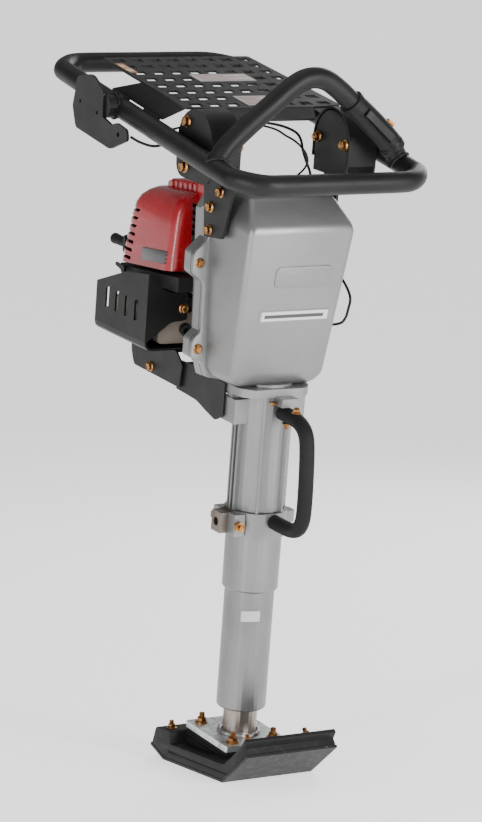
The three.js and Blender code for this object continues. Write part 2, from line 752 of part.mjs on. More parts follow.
const CHOKE = { y: 262, z: 697, reach: 24 };
const choke = join(
  bar('x', 6, -102, -97.6, [CHOKE.y, CHOKE.z], 14),
  slab([
    [CHOKE.y, CHOKE.z - 4], [CHOKE.y + CHOKE.reach, CHOKE.z + 1, 2],
    [CHOKE.y + CHOKE.reach, CHOKE.z + 6, 2], [CHOKE.y, CHOKE.z + 4],
  ], 'x', -101, -98),
);
add('choke_lever', choke, blackPlastic);

// -------------------------------------------------------- guards under engine

const GUARD = { left: -118, right: 102, front: 150, rear: 308, floor: 598, top: 713, sheet: 3 };
const guardSection = [
  [GUARD.left, GUARD.top], [GUARD.left, GUARD.floor, 13], [GUARD.right, GUARD.floor, 8],
  [GUARD.right, 640], [GUARD.right - GUARD.sheet, 640],
  [GUARD.right - GUARD.sheet, GUARD.floor + GUARD.sheet, 6],
  [GUARD.left + GUARD.sheet, GUARD.floor + GUARD.sheet, 10], [GUARD.left + GUARD.sheet, GUARD.top],
];
const guardSide = [
  [GUARD.front, 590], [GUARD.rear, 590], [GUARD.rear, 671], [222, 702], [GUARD.front, GUARD.top],
];
const guardShell = overlap(
  slab(guardSection, 'y', GUARD.front, GUARD.rear),
  slab(guardSide, 'x', GUARD.left - 5, GUARD.right + 5),
);
const guardSlots = [0, 1, 2, 3].map((i) => slab([
  [178 + i * 30, 640], [188 + i * 30, 636], [188 + i * 30, 666], [178 + i * 30, 670],
], 'x', GUARD.left - 5, GUARD.left + 8));
const wing = slab([
  [GUARD.left + 1, 610], [-76, 640, 6], [-50, 642, 6], [-50, 684, 6], [-80, 684, 6], [-101, 694],
  [GUARD.left + 1, GUARD.top],
], 'y', GUARD.front, GUARD.front + GUARD.sheet);
const rearLip = block(
  [GUARD.left + 12, GUARD.right - 8],
  [GUARD.rear - GUARD.sheet, GUARD.rear],
  [GUARD.floor + 1, 612],
);
add('tank_guard', cut(join(guardShell, rearLip, wing), ...guardSlots), blackCoat);

const skidSide = [
  [132, 545.5, 4], [273, 548, 6], [283, 568, 4], [285, 597], [148, 597], [127, 580, 3],
];
const rearSkid = join(
  slab(skidSide, 'x', -66, -63),
  slab(skidSide, 'x', 63, 66),
  block([-66, 66], [150, 284], [594, 597]),
);
add('rear_skid', rearSkid, blackCoat);

const armSide = [
  [8, 534, 3], [30, 522.5, 5], [62, 530.5, 8], [87, 538, 8], [148, 540.5], [148, 584],
  [92, 587], [74, 582.5], [8, 582.5],
];
const frontSkid = join(
  slab(armSide, 'x', -61.5, -58.5),
  slab(armSide, 'x', 58.5, 61.5),
  block([-60, 60], [136, 139], [544, 582]),
);
add('front_skid', frontSkid, blackCoat);

// -------------------------------------------------- handle mounts, both sides

// Each side plate has a leg down to the housing and a head, set inwards, in the bracket's drum.
const LEG_TOP = 884;
const LEGS = {
  left: [[-24, 800, 4], [28, 794, 4], [38, 872], [50, LEG_TOP], [-40, LEG_TOP, 4], [-46, 876, 4]],
  right: [[8, 800, 4], [30, 794, 4], [38, 872], [50, LEG_TOP], [2, LEG_TOP]],
};
const HEAD_X = 89;

// Outline of the drum-shaped bracket: a half-round arch over a narrower rounded foot.
const ARCH = { y: 14, z: 928, r: 50, foot: 877, footHalf: 26, shoulder: 900 };

function archOutline(inset, bottom) {
  const r = ARCH.r - inset;
  const shape = new THREE.Shape();
  shape.moveTo(ARCH.y + r, ARCH.z);
  shape.absarc(ARCH.y, ARCH.z, r, 0, Math.PI, false);
  if (bottom) {
    shape.lineTo(ARCH.y - r, bottom);
    shape.lineTo(ARCH.y + r, bottom);
  } else {
    shape.lineTo(ARCH.y - r, ARCH.shoulder);
    shape.quadraticCurveTo(ARCH.y - r, ARCH.foot, ARCH.y - ARCH.footHalf, ARCH.foot);
    shape.lineTo(ARCH.y + ARCH.footHalf, ARCH.foot);
    shape.quadraticCurveTo(ARCH.y + r, ARCH.foot, ARCH.y + r, ARCH.shoulder);
  }
  return shape;
}

function onSide(geometry, side) {
  return side > 0 ? geometry : toGeometry(toSolid(geometry).mirror([1, 0, 0]));
}

const HEAD_THICK = 3.4;
const DRUM_WALL = 3;

function sidePlate(leg) {
  const head = prism(archOutline(5.4, LEG_TOP - 4), 'x', HEAD_X, HEAD_X + HEAD_THICK, 10);
  const step = block([HEAD_X, SIDE_PLATE_X + 4], [4, 48], [LEG_TOP - 4, LEG_TOP]);
  return join(slab(leg, 'x', SIDE_PLATE_X, SIDE_PLATE_X + 4), step, head);
}

[['left', -1], ['right', 1]].forEach(([name, side]) => {
  add(`side_plate_${name}`, onSide(sidePlate(LEGS[name]), side), blackCoat);
  const rubber = bar(
    'x', 30, HEAD_X + HEAD_THICK + GAP, BRACKET_OUTER_X - DRUM_WALL - GAP, [ISOLATOR.y, ISOLATOR.z],
  );
  add(`isolator_${name}`, onSide(rubber, side), blackRubber);
  const bracket = cut(
    prism(archOutline(0), 'x', BRACKET_INNER_X, BRACKET_OUTER_X, 10),
    prism(archOutline(DRUM_WALL, ARCH.foot - 10), 'x', BRACKET_INNER_X - 5, BRACKET_OUTER_X - DRUM_WALL, 10),
    block([BRACKET_INNER_X - 5, BRACKET_OUTER_X - DRUM_WALL], [-60, 90], [860, ARCH.shoulder]),
  );
  add(`handle_bracket_${name}`, onSide(bracket, side), blackCoat);
});

// -------------------------------------------------------------- handle frame

const loopTilt = Math.atan2(LOOP_REAR.z - LOOP_FRONT.z, LOOP_REAR.y - LOOP_FRONT.y);

function onLoop(x, y, lift = 0) {
  const z = LOOP_FRONT.z + (y - LOOP_FRONT.y) * Math.tan(loopTilt);
  return [x, y - lift * Math.sin(loopTilt), z + lift * Math.cos(loopTilt)];
}

const CORNER = 61;

function halfLoop(side) {
  const w = LOOP_HALF_WIDTH;
  const overlap = 2;
  const bend = [[CORNER, 0], [0.5 * CORNER, 0.09 * CORNER], [0.09 * CORNER, 0.5 * CORNER], [0, CORNER]];
  const front = bend.map(([dx, dy]) => onLoop(w - dx, LOOP_FRONT.y + dy));
  const rear = bend.map(([dx, dy]) => onLoop(w - dx, LOOP_REAR.y - dy)).reverse();
  const middle = [onLoop(w, 60), onLoop(w, 220)];
  const points = [onLoop(-overlap, LOOP_FRONT.y), ...front, ...middle, ...rear, onLoop(-overlap, LOOP_REAR.y)];
  return smooth(points.map(([x, y, z]) => [side * x, y, z]), 0.45);
}

function loopTube(radius) {
  return join(rope(halfLoop(1), radius, 10, 28), rope(halfLoop(-1), radius, 10, 28));
}

const aroundLoop = loopTube(TUBE + GAP);
add('handle_loop', loopTube(TUBE), blackCoat);

const BOW_ARM = [[132, 941], [103, 968], [67, 997], [41, 1018], [20, 1031]];
// The bow's ends stop a little inside and above the centre line of the loop's arms.
const FOOT_INSET = 1;
const FOOT_RISE = 1.5;
const bowFoot = [LOOP_HALF_WIDTH - FOOT_INSET, onLoop(0, BOW_Y)[2] + FOOT_RISE];
const bowRight = [...BOW_ARM].reverse().concat([bowFoot]).map(([x, z]) => [x, BOW_Y, z]);
const bowLeft = [bowFoot].concat(BOW_ARM).map(([x, z]) => [-x, BOW_Y, z]);
const bowCurve = smooth([...bowLeft, [0, BOW_Y, 1035], ...bowRight]);
add('handle_bow', cut(rope(bowCurve, TUBE, 10, 30), aroundLoop), blackCoat);

// Deck plate over the loop: square holes in rows, a front lip bent down, and a web
// on each side that is welded down to the loop.
const DECK = { front: 52, frontZ: 972, rear: 325, rearZ: 1001, half: 128, rearHalf: 123, sheet: 3 };
const deckTilt = Math.atan2(DECK.rearZ - DECK.frontZ, DECK.rear - DECK.front);
const deckLength = Math.hypot(DECK.rearZ - DECK.frontZ, DECK.rear - DECK.front);
const HOLE = { x: 9, y: 8, pitchX: 30, pitchY: 34, columns: 8, rows: 8 };
// Rows and columns that stay plain, under the two labels.
const PLAIN = [{ rows: [4, 4], columns: [3, 5] }, { rows: [0, 1], columns: [3, 4] }];

function isPlain(row, column) {
  return PLAIN.some(({ rows, columns }) => row >= rows[0] && row <= rows[1]
    && column >= columns[0] && column <= columns[1]);
}

function deckPlate() {
  const sheet = slab([
    [-80, 0], [80, 0], [DECK.half, 8, 4], [DECK.rearHalf, deckLength, 5], [-DECK.rearHalf, deckLength, 5],
    [-DECK.half, 8, 4],
  ], 'z', -DECK.sheet, 0);
  const holes = [];
  for (let row = 0; row < HOLE.rows; row += 1) {
    for (let column = 0; column < HOLE.columns; column += 1) {
      const x = (column - (HOLE.columns - 1) / 2) * HOLE.pitchX;
      const y = 18 + row * HOLE.pitchY;
      if (isPlain(row, column)) continue;
      holes.push(block([x - HOLE.x, x + HOLE.x], [y - HOLE.y, y + HOLE.y], [-9, 9]));
    }
  }
  return cut(sheet, ...holes).rotateX(deckTilt).translate(0, DECK.front, DECK.frontZ);
}

const lip = hull(mirrored([
  [65, 24, 960], [65, 24, 957], [79, DECK.front + 1, DECK.frontZ], [79, DECK.front + 1, DECK.frontZ - 3],
]));

function deckWeb(side) {
  const edge = [
    [126, 62, 971], [126, 196, 985.5], [138, 108, onLoop(0, 108)[2] + 12], [138, 262, onLoop(0, 262)[2] + 12],
  ];
  const sheet = edge.flatMap(([x, y, z]) => [[side * x, y, z], [side * (x - 3), y, z]]);
  return hull(sheet);
}

add('deck_plate', join(deckPlate(), lip, deckWeb(1), deckWeb(-1)), blackCoat);

// Cable bracket: a cranked flat plate on a short stub, outside the loop's left side.
const BRACKET_X = -181;
const cableBracket = cut(
  join(
    slab([
      [292, 980, 10], [244, 991, 12], [207, 971, 6], [205, 935], [177, 928, 3], [162, 934, 4],
      [131, 929, 5], [127, 914, 5], [178, 893, 6], [287, 906, 6], [300, 936, 4], [294, 959],
    ], 'x', BRACKET_X, BRACKET_X + 4),
    bar('x', 17, BRACKET_X + 3.5, -152, [207, 950], 20),
  ),
  aroundLoop,
  bar('x', 3, -190, -170, [276, 946], 8),
  bar('x', 3, -190, -170, [223, 938], 8),
  bar('x', 4, -190, -170, [155, 918], 8),
);
add('cable_bracket', cableBracket, blackCoat);

// --------------------------------------------------- grip, trigger and switch

const ARM = { x: 101, z: 969, turn: Math.atan2(30, 35) };   // middle and slope of the bow's right arm

function onArm(geometry) {
  return geometry.rotateY(ARM.turn).translate(ARM.x, BOW_Y, ARM.z);
}

// Centre line of the sleeve along the arm, and of its bore, which runs past both ends.
const onBow = ([x, z]) => [x, BOW_Y, z];
const ALONG_ARM = [[139.2, 931.3], [132, 941], [118.6, 954.4], [103, 968], [85, 982.6], [67, 997]];
const armPath = smooth([...ALONG_ARM, [61.5, 1001.5]].map(onBow));
const borePath = smooth([[145, 922], ...ALONG_ARM, [41, 1018]].map(onBow));
const gripSleeve = cut(
  rope(armPath, 18.8, 12, 6),
  rope(borePath, 16.4, 12, 8),
  onArm(block([-31, 31], [-30, -15], [-6.5, 6.5])),
  onArm(block([15, 28], [-4.5, 4.5], [10, 30])),
);
add('throttle_grip', gripSleeve, blackPlastic);

const triggerBar = onArm(
  slab([[-29, -18.5], [29, -19.5], [29, -25.5, 3], [-20, -22.5, 3], [-29, -20.5, 1.5]], 'z', -5, 5),
);
add('throttle_trigger', triggerBar, blackPlastic);
add('stop_switch', onArm(block([15.5, 27.5], [-4, 4], [18, 21.6])), orangePlastic);

// ------------------------------------------------------------ cable and wire

const throttleCable = smooth([
  [-176.5, 126, 920], [-165, 116, 913.5], [-149, 107, 909.5], [-134, 101, 913.5], [-118, 98, 924],
  [-100, 96, 933], [-70, 93, 940], [-30, 92, 944], [10, 91, 944], [40, 91, 940], [62, 92, 934],
  [78, 92, 926], [86, 92, 915], [90, 92, 901], [97, 93, 886], [105, 92, 868],
  [109, 90, 845], [110, 86, 815], [112, 80, 785], [116, 68, 758], [124, 44, 738],
  [129, 16, 722], [130, -4, 703], [129, -3, 684], [132, 8, 668], [133, 24, 657],
  [128, 52, 650], [118, 86, 653], [105, 122, 662], [92, 148, 673], [79, 172, 681],
]);
add('throttle_cable', rope(throttleCable, 2, 8, 60), blackRubber);

const stopWire = smooth([
  [-132.6, 96, 934], [-112, 84, 941], [-80, 70, 947], [-44, 60, 949], [-12, 54, 947],
  [18, 54, 940], [38, 57, 930], [56, 60, 921], [71, 63, 910], [83, 69, 898],
  [90, 77, 886], [90, 88, 872], [80, 102, 856], [62, 114, 842], [46, 124, 832],
  [38, 133.5, 824],
]);
add('stop_wire', rope(stopWire, 1.6, 8, 44), blackRubber);

export default rammer;
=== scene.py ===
"""Looks of a petrol trench rammer: its visible skins, fasteners, labels, cords and
materials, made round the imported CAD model. Shapes are in millimetres in the machine's own
upright frame, which leans forward with the ram, and become metres in the part's frame."""

import math

import bmesh
import bpy
from mathutils import Matrix, Vector


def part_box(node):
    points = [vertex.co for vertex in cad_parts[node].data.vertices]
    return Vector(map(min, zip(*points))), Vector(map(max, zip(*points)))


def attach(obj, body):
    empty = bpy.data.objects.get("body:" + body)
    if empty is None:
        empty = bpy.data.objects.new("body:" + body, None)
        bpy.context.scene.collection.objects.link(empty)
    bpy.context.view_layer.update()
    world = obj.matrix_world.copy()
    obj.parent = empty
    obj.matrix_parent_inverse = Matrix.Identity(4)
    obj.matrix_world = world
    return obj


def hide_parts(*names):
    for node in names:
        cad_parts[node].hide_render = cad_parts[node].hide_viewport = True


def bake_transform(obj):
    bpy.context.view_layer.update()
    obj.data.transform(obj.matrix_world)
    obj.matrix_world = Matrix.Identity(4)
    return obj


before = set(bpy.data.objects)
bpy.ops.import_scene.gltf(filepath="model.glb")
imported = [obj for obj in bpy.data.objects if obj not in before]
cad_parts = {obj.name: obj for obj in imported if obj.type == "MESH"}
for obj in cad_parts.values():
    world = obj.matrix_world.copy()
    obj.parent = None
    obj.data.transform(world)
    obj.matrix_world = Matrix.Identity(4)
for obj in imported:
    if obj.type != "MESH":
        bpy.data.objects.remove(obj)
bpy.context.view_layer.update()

MM = 0.001
MERGE = 1e-4  # millimetres: points of a piece that lie this close become one
LEAN = math.radians(8.2)
LEVEL = Matrix.Scale(MM, 4)
UPRIGHT = Matrix.Rotation(LEAN, 4, "X") @ LEVEL
INTO_UPRIGHT = UPRIGHT.inverted()
SIDES = (("left", -1), ("right", 1))


def span(node):
    """(lowest corner, highest corner) of a CAD node in the upright frame, in millimetres."""
    places = [INTO_UPRIGHT @ v.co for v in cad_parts[node].data.vertices]
    low = Vector([min(p[i] for p in places) for i in range(3)])
    high = Vector([max(p[i] for p in places) for i in range(3)])
    return low, high


# ---------- mesh tools


def catmull(points, tension=0.5, per_span=10):
    """Points of a Catmull-Rom curve that passes through the given points."""
    inner = [Vector(p) for p in points]
    ends = [2 * inner[0] - inner[1]] + inner + [2 * inner[-1] - inner[-2]]
    found = []
    for p0, p1, p2, p3 in zip(ends, ends[1:], ends[2:], ends[3:]):
        leave, arrive = tension * (p2 - p0), tension * (p3 - p1)
        for k in range(per_span):
            t = k / per_span
            t2, t3 = t * t, t * t * t
            found.append(
                p1 * (2 * t3 - 3 * t2 + 1) + leave * (t3 - 2 * t2 + t)
                + p2 * (3 * t2 - 2 * t3) + arrive * (t3 - t2)
            )
    return found + [inner[-1]]


def full_turn(steps):
    """The angles of a whole turn in equal steps."""
    return [2 * math.pi * k / steps for k in range(steps)]


def sweep(bm, points, radius, sides=24, closed=False):
    """A tube along points. radius is a number or a function of 0 to 1 along the tube."""
    count = len(points)
    near = points[1] - points[0]
    across = near.orthogonal().normalized()
    rings = []
    for i, p in enumerate(points):
        after = points[(i + 1) % count] if closed else points[min(i + 1, count - 1)]
        before = points[i - 1] if closed or i else p
        along = (after - before).normalized()
        across = (across - across.dot(along) * along).normalized()
        up = along.cross(across)
        r = radius(i / (count - 1)) if callable(radius) else radius
        spokes = [math.cos(a) * across + math.sin(a) * up for a in full_turn(sides)]
        rings.append([bm.verts.new(p + r * spoke) for spoke in spokes])
    pairs = list(zip(rings, rings[1:])) + ([(rings[-1], rings[0])] if closed else [])
    for a, b in pairs:
        for k in range(sides):
            bm.faces.new((a[k], a[(k + 1) % sides], b[(k + 1) % sides], b[k]))
    if not closed:
        bm.faces.new(list(reversed(rings[0])))
        bm.faces.new(rings[-1])
    return bm


def tube(points, radius, **options):
    return sweep(bmesh.new(), points, radius, **options)


def aim(at, direction):
    """Places +Z of a turned shape along direction, with its foot at a point."""
    turn = Vector(direction).to_track_quat("Z", "Y").to_matrix().to_4x4()
    return Matrix.Translation(Vector(at)) @ turn


def turned(bm, profile, place, steps=32):
    """A closed shape: a profile of (radius, height) turned about an axis, ends on the axis."""
    rings = []
    for r, h in profile:
        if r == 0:
            rings.append([bm.verts.new(place @ Vector((0, 0, h)))])
            continue
        around = [Vector((r * math.cos(a), r * math.sin(a), h)) for a in full_turn(steps)]
        rings.append([bm.verts.new(place @ p) for p in around])
    for a, b in zip(rings, rings[1:]):
        for k in range(steps):
            n = (k + 1) % steps
            if len(a) == 1:
                bm.faces.new((a[0], b[k], b[n]))
            elif len(b) == 1:
                bm.faces.new((a[k], b[0], a[n]))
            else:
                bm.faces.new((a[k], b[k], b[n], a[n]))
    return bm


def drill(radius, depth, place, steps=32):
    """A plain cylinder, to cut a round hole with."""
    return turned(bmesh.new(), [(0, 0), (radius, 0), (radius, depth), (0, depth)], place, steps)


def bend(start, corner, end, steps=6):
    """Points of a curve from start to end that rounds off the corner between them."""
    found = []
    for k in range(steps + 1):
        t = k / steps
        found.append(start * (1 - t) ** 2 + corner * 2 * t * (1 - t) + end * t * t)
    return found


def rectangle(u, v, corner):
    """Corner points of a rectangle, from its two ranges and one corner radius."""
    return [(u[0], v[0], corner), (u[1], v[0], corner), (u[1], v[1], corner), (u[0], v[1], corner)]


def outline(points):
    """Corner points (u, v, radius), with the corners that have a radius rounded."""
    found = []
    count = len(points)
    for i, (u, v, *rest) in enumerate(points):
        corner = Vector((u, v))
        if not rest:
            found.append(corner)
            continue
        start = corner + (Vector(points[i - 1][:2]) - corner).normalized() * rest[0]
        end = corner + (Vector(points[(i + 1) % count][:2]) - corner).normalized() * rest[0]
        found += bend(start, corner, end)
    return found


AXIS_POINT = {
    "x": lambda u, v, w: (w, u, v),
    "y": lambda u, v, w: (u, w, v),
    "z": lambda u, v, w: (u, v, w),
}


def prism(loop, axis, low, high):
    """A flat loop of (u, v) points extruded along an axis."""
    bm = bmesh.new()
    point = AXIS_POINT[axis]
    bottom = [bm.verts.new(point(u, v, low)) for u, v in loop]
    top = [bm.verts.new(point(u, v, high)) for u, v in loop]
    bm.faces.new(bottom)
    bm.faces.new(list(reversed(top)))
    for k in range(len(loop)):
        n = (k + 1) % len(loop)
        bm.faces.new((bottom[k], top[k], top[n], bottom[n]))
    bmesh.ops.recalc_face_normals(bm, faces=bm.faces)
    return bm


def slab(points, axis, low, high):
    return prism(outline(points), axis, low, high)


def brick(x, y, z):
    return prism([(x[0], y[0]), (x[1], y[0]), (x[1], y[1]), (x[0], y[1])], "z", *z)


def round_edges(bm, radius, segments=4, above=28):
    """Rounds the edges whose faces meet at more than an angle, in degrees."""
    limit = math.radians(above)
    edges = [e for e in bm.edges if len(e.link_faces) == 2 and e.calc_face_angle(0) > limit]
    bmesh.ops.bevel(
        bm, geom=edges, offset=radius, offset_type="OFFSET", segments=segments,
        profile=0.5, affect="EDGES", clamp_overlap=True,
    )
    return bm


def hull(points, radius=0, segments=4, above=28):
    """The smallest convex body round the points, with its edges rounded if a radius is given."""
    bm = bmesh.new()
    for p in points:
        bm.verts.new(p)
    made = bmesh.ops.convex_hull(bm, input=bm.verts)
    unused = {g for key in ("geom_interior", "geom_unused") for g in made[key]}
    bmesh.ops.delete(bm, geom=[g for g in unused if isinstance(g, bmesh.types.BMVert)], context="VERTS")
    bmesh.ops.dissolve_limit(bm, angle_limit=math.radians(1.5), verts=bm.verts, edges=bm.edges)
    bmesh.ops.recalc_face_normals(bm, faces=bm.faces)
    return round_edges(bm, radius, segments, above) if radius else bm


def mirrored(points):
    return [(side * x, y, z) for x, y, z in points for side in (1, -1)]


def loft(rings):
    """A closed skin through rings of points, with its first and last ring filled."""
    bm = bmesh.new()
    made = [[bm.verts.new(p) for p in ring] for ring in rings]
    for a, b in zip(made, made[1:]):
        for k in range(len(a)):
            n = (k + 1) % len(a)
            bm.faces.new((a[k], a[n], b[n], b[k]))
    bm.faces.new(list(reversed(made[0])))
    bm.faces.new(made[-1])
    bmesh.ops.recalc_face_normals(bm, faces=bm.faces)
    return bm


def part_object(bm):
    """A passing object for a boolean, which combine takes away again."""
    mesh = bpy.data.meshes.new("part")
    bmesh.ops.recalc_face_normals(bm, faces=bm.faces)
    bm.to_mesh(mesh)
    bm.free()
    obj = bpy.data.objects.new("part", mesh)
    bpy.context.scene.collection.objects.link(obj)
    return obj


def combine(base, operation, *others):
    """Cuts closed shapes out of the base, or joins them to it."""
    body = part_object(base)
    tools = [part_object(bm) for bm in others]
    for tool in tools:
        modifier = body.modifiers.new("boolean", "BOOLEAN")
        modifier.object = tool
        modifier.operation = operation
        modifier.solver = "EXACT"
    graph = bpy.context.evaluated_depsgraph_get()
    mesh = bpy.data.meshes.new_from_object(body.evaluated_get(graph))
    result = bmesh.new()
    result.from_mesh(mesh)
    bpy.data.meshes.remove(mesh)
    for obj in [body, *tools]:
        bpy.data.meshes.remove(obj.data)
    return result


def cut(base, *tools):
    return combine(base, "DIFFERENCE", *tools)


def join(base, *others):
    return combine(base, "UNION", *others)


def piece(name, bm, look, body, slot, stands_for=(), place=UPRIGHT, sharp=38, riding=True):
    """A finished piece: its mesh in the part's frame, its material and the body it rides on."""
    mesh = bpy.data.meshes.new(name)
    bmesh.ops.remove_doubles(bm, verts=bm.verts, dist=MERGE)
    bmesh.ops.recalc_face_normals(bm, faces=bm.faces)
    bm.to_mesh(mesh)
    bm.free()
    mesh.transform(place)
    mesh.shade_smooth()
    mesh.set_sharp_from_angle(angle=math.radians(sharp))
    mesh.materials.append(look)
    obj = bpy.data.objects.new(name, mesh)
    bpy.context.scene.collection.objects.link(obj)
    if riding:
        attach(obj, body)
    if stands_for:
        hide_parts(*stands_for)
    return obj


# ---------- materials


class Look:
    """A node material on object coordinates, built step by step."""

    def __init__(self, name, color, roughness, metallic=0.0, **sockets):
        self.material = bpy.data.materials.new(name)
        self.material.use_nodes = True
        self.tree = self.material.node_tree
        self.shader = self.tree.nodes["Principled BSDF"]
        self.shader.inputs["Base Color"].default_value = (*color, 1)
        self.shader.inputs["Roughness"].default_value = roughness
        self.shader.inputs["Metallic"].default_value = metallic
        for socket, value in sockets.items():
            self.shader.inputs[socket.replace("_", " ")].default_value = value
        self.color = (*color, 1)
        self.coordinates = self.node("ShaderNodeTexCoord").outputs["Object"]
        self.normal = None

    def node(self, kind, **values):
        made = self.tree.nodes.new(kind)
        for key, value in values.items():
            setattr(made, key, value)
        return made

    def link(self, start, end):
        self.tree.links.new(start, end)

    def stretched(self, scale):
        mapping = self.node("ShaderNodeMapping")
        mapping.inputs["Scale"].default_value = scale
        mapping.inputs["Rotation"].default_value = (-LEAN, 0, 0)
        self.link(self.coordinates, mapping.inputs["Vector"])
        return mapping.outputs["Vector"]

    def noise(self, scale, detail=4.0, stretch=None):
        made = self.node("ShaderNodeTexNoise")
        made.inputs["Scale"].default_value = scale
        made.inputs["Detail"].default_value = detail
        self.link(self.stretched(stretch) if stretch else self.coordinates, made.inputs["Vector"])
        return made.outputs["Fac"]

    def ramp(self, value, low, high):
        made = self.node("ShaderNodeMapRange")
        made.inputs["From Min"].default_value = low
        made.inputs["From Max"].default_value = high
        self.link(value, made.inputs["Value"])
        return made.outputs["Result"]

    def tint(self, mask, color):
        """Mixes a second colour in by a mask."""
        mix = self.node("ShaderNodeMix", data_type="RGBA")
        mix.inputs["A"].default_value = self.color
        mix.inputs["B"].default_value = (*color, 1)
        target = self.shader.inputs["Base Color"]
        if target.is_linked:
            self.link(target.links[0].from_socket, mix.inputs["A"])
        self.link(mask, mix.inputs["Factor"])
        self.link(mix.outputs["Result"], target)
        return self

    def vary_roughness(self, mask, low, high):
        made = self.node("ShaderNodeMapRange")
        made.inputs["To Min"].default_value = low
        made.inputs["To Max"].default_value = high
        self.link(mask, made.inputs["Value"])
        self.link(made.outputs["Result"], self.shader.inputs["Roughness"])
        return self

    def bump(self, height, strength, distance):
        made = self.node("ShaderNodeBump")
        made.inputs["Strength"].default_value = strength
        made.inputs["Distance"].default_value = distance
        self.link(height, made.inputs["Height"])
        if self.normal:
            self.link(self.normal, made.inputs["Normal"])
        self.normal = made.outputs["Normal"]
        self.link(self.normal, self.shader.inputs["Normal"])
        return self


SATIN = 0.22  # reflection level of the powder coats, rubbers and plastics


def powder_coat(name, color, roughness):
    look = Look(name, color, roughness, Specular_IOR_Level=SATIN)
    blotch = look.ramp(look.noise(14, 5), 0.42, 0.72)
    look.tint(blotch, [c * 1.5 + 0.001 for c in color])
    look.vary_roughness(look.noise(30, 6), roughness - 0.1, roughness + 0.12)
    look.bump(look.noise(1500, 2), 0.22, 0.0004)
    dust = look.ramp(look.noise(420, 3), 0.68, 0.78)
    look.tint(dust, (0.035, 0.035, 0.033))
    return look.material


def sand_cast(name, color, metallic):
    look = Look(name, color, 0.42, metallic)
    look.tint(look.ramp(look.noise(9, 5), 0.35, 0.75), [c * 0.86 for c in color])
    look.tint(look.ramp(look.noise(900, 2), 0.62, 0.74), [min(1, c * 1.35) for c in color])
    look.vary_roughness(look.noise(60, 5), 0.34, 0.5)
    look.bump(look.noise(1300, 3), 0.3, 0.0005)
    look.bump(look.noise(70, 3), 0.12, 0.002)
    return look.material


def turned_metal(name, color, roughness, stain, stain_color):
    look = Look(name, color, roughness, 0.92)
    look.tint(look.ramp(look.noise(22, 6, (1, 1, 0.35)), 0.45, 0.75), [c * 0.8 for c in color])
    look.tint(look.ramp(look.noise(35, 7, (1, 1, 0.5)), 0.8 - stain, 0.95 - stain), stain_color)
    look.vary_roughness(look.noise(50, 5), roughness - 0.08, roughness + 0.12)
    look.bump(look.noise(260, 3, (0.05, 0.05, 6)), 0.16, 0.0004)
    look.bump(look.noise(1400, 2), 0.12, 0.0003)
    return look.material


def yellow_zinc():
    look = Look("yellow_zinc", (0.4, 0.2, 0.06), 0.26, 1.0)
    look.tint(look.ramp(look.noise(160, 4), 0.4, 0.62), (0.24, 0.1, 0.045))
    look.tint(look.ramp(look.noise(240, 4), 0.58, 0.7), (0.5, 0.42, 0.2))
    look.vary_roughness(look.noise(300, 4), 0.2, 0.42)
    look.bump(look.noise(900, 3), 0.15, 0.0003)
    return look.material


def galvanised():
    look = Look("galvanised", (0.56, 0.58, 0.59), 0.34, 0.85)
    cells = look.node("ShaderNodeTexVoronoi")
    cells.inputs["Scale"].default_value = 130
    look.link(look.coordinates, cells.inputs["Vector"])
    look.tint(look.ramp(cells.outputs["Color"], 0.2, 1.0), (0.74, 0.76, 0.77))
    look.tint(look.ramp(look.noise(40, 6), 0.58, 0.72), (0.3, 0.3, 0.3))
    look.vary_roughness(cells.outputs["Distance"], 0.25, 0.5)
    look.bump(look.noise(200, 4), 0.12, 0.0006)
    return look.material


def moulded(name, color, roughness, grain=0.2, scuff=None, **sockets):
    look = Look(name, color, roughness, Specular_IOR_Level=SATIN, **sockets)
    look.tint(look.ramp(look.noise(18, 5), 0.4, 0.75), [c * 1.35 + 0.001 for c in color])
    if scuff:
        look.tint(look.ramp(look.noise(130, 8, (1, 0.25, 1.4)), 0.6, 0.74), scuff)
    look.vary_roughness(look.noise(80, 5), roughness - 0.08, roughness + 0.12)
    look.bump(look.noise(1100, 3), grain, 0.0004)
    return look.material


def gloss_red():
    look = Look("gloss_red", (0.3, 0.005, 0.01), 0.24, Coat_Weight=0.35, Coat_Roughness=0.08)
    look.tint(look.ramp(look.noise(10, 4), 0.4, 0.7), (0.36, 0.008, 0.013))
    look.tint(look.ramp(look.noise(380, 5), 0.66, 0.74), (0.16, 0.004, 0.008))
    look.vary_roughness(look.noise(90, 5), 0.18, 0.36)
    look.bump(look.noise(150, 3), 0.05, 0.0008)
    return look.material


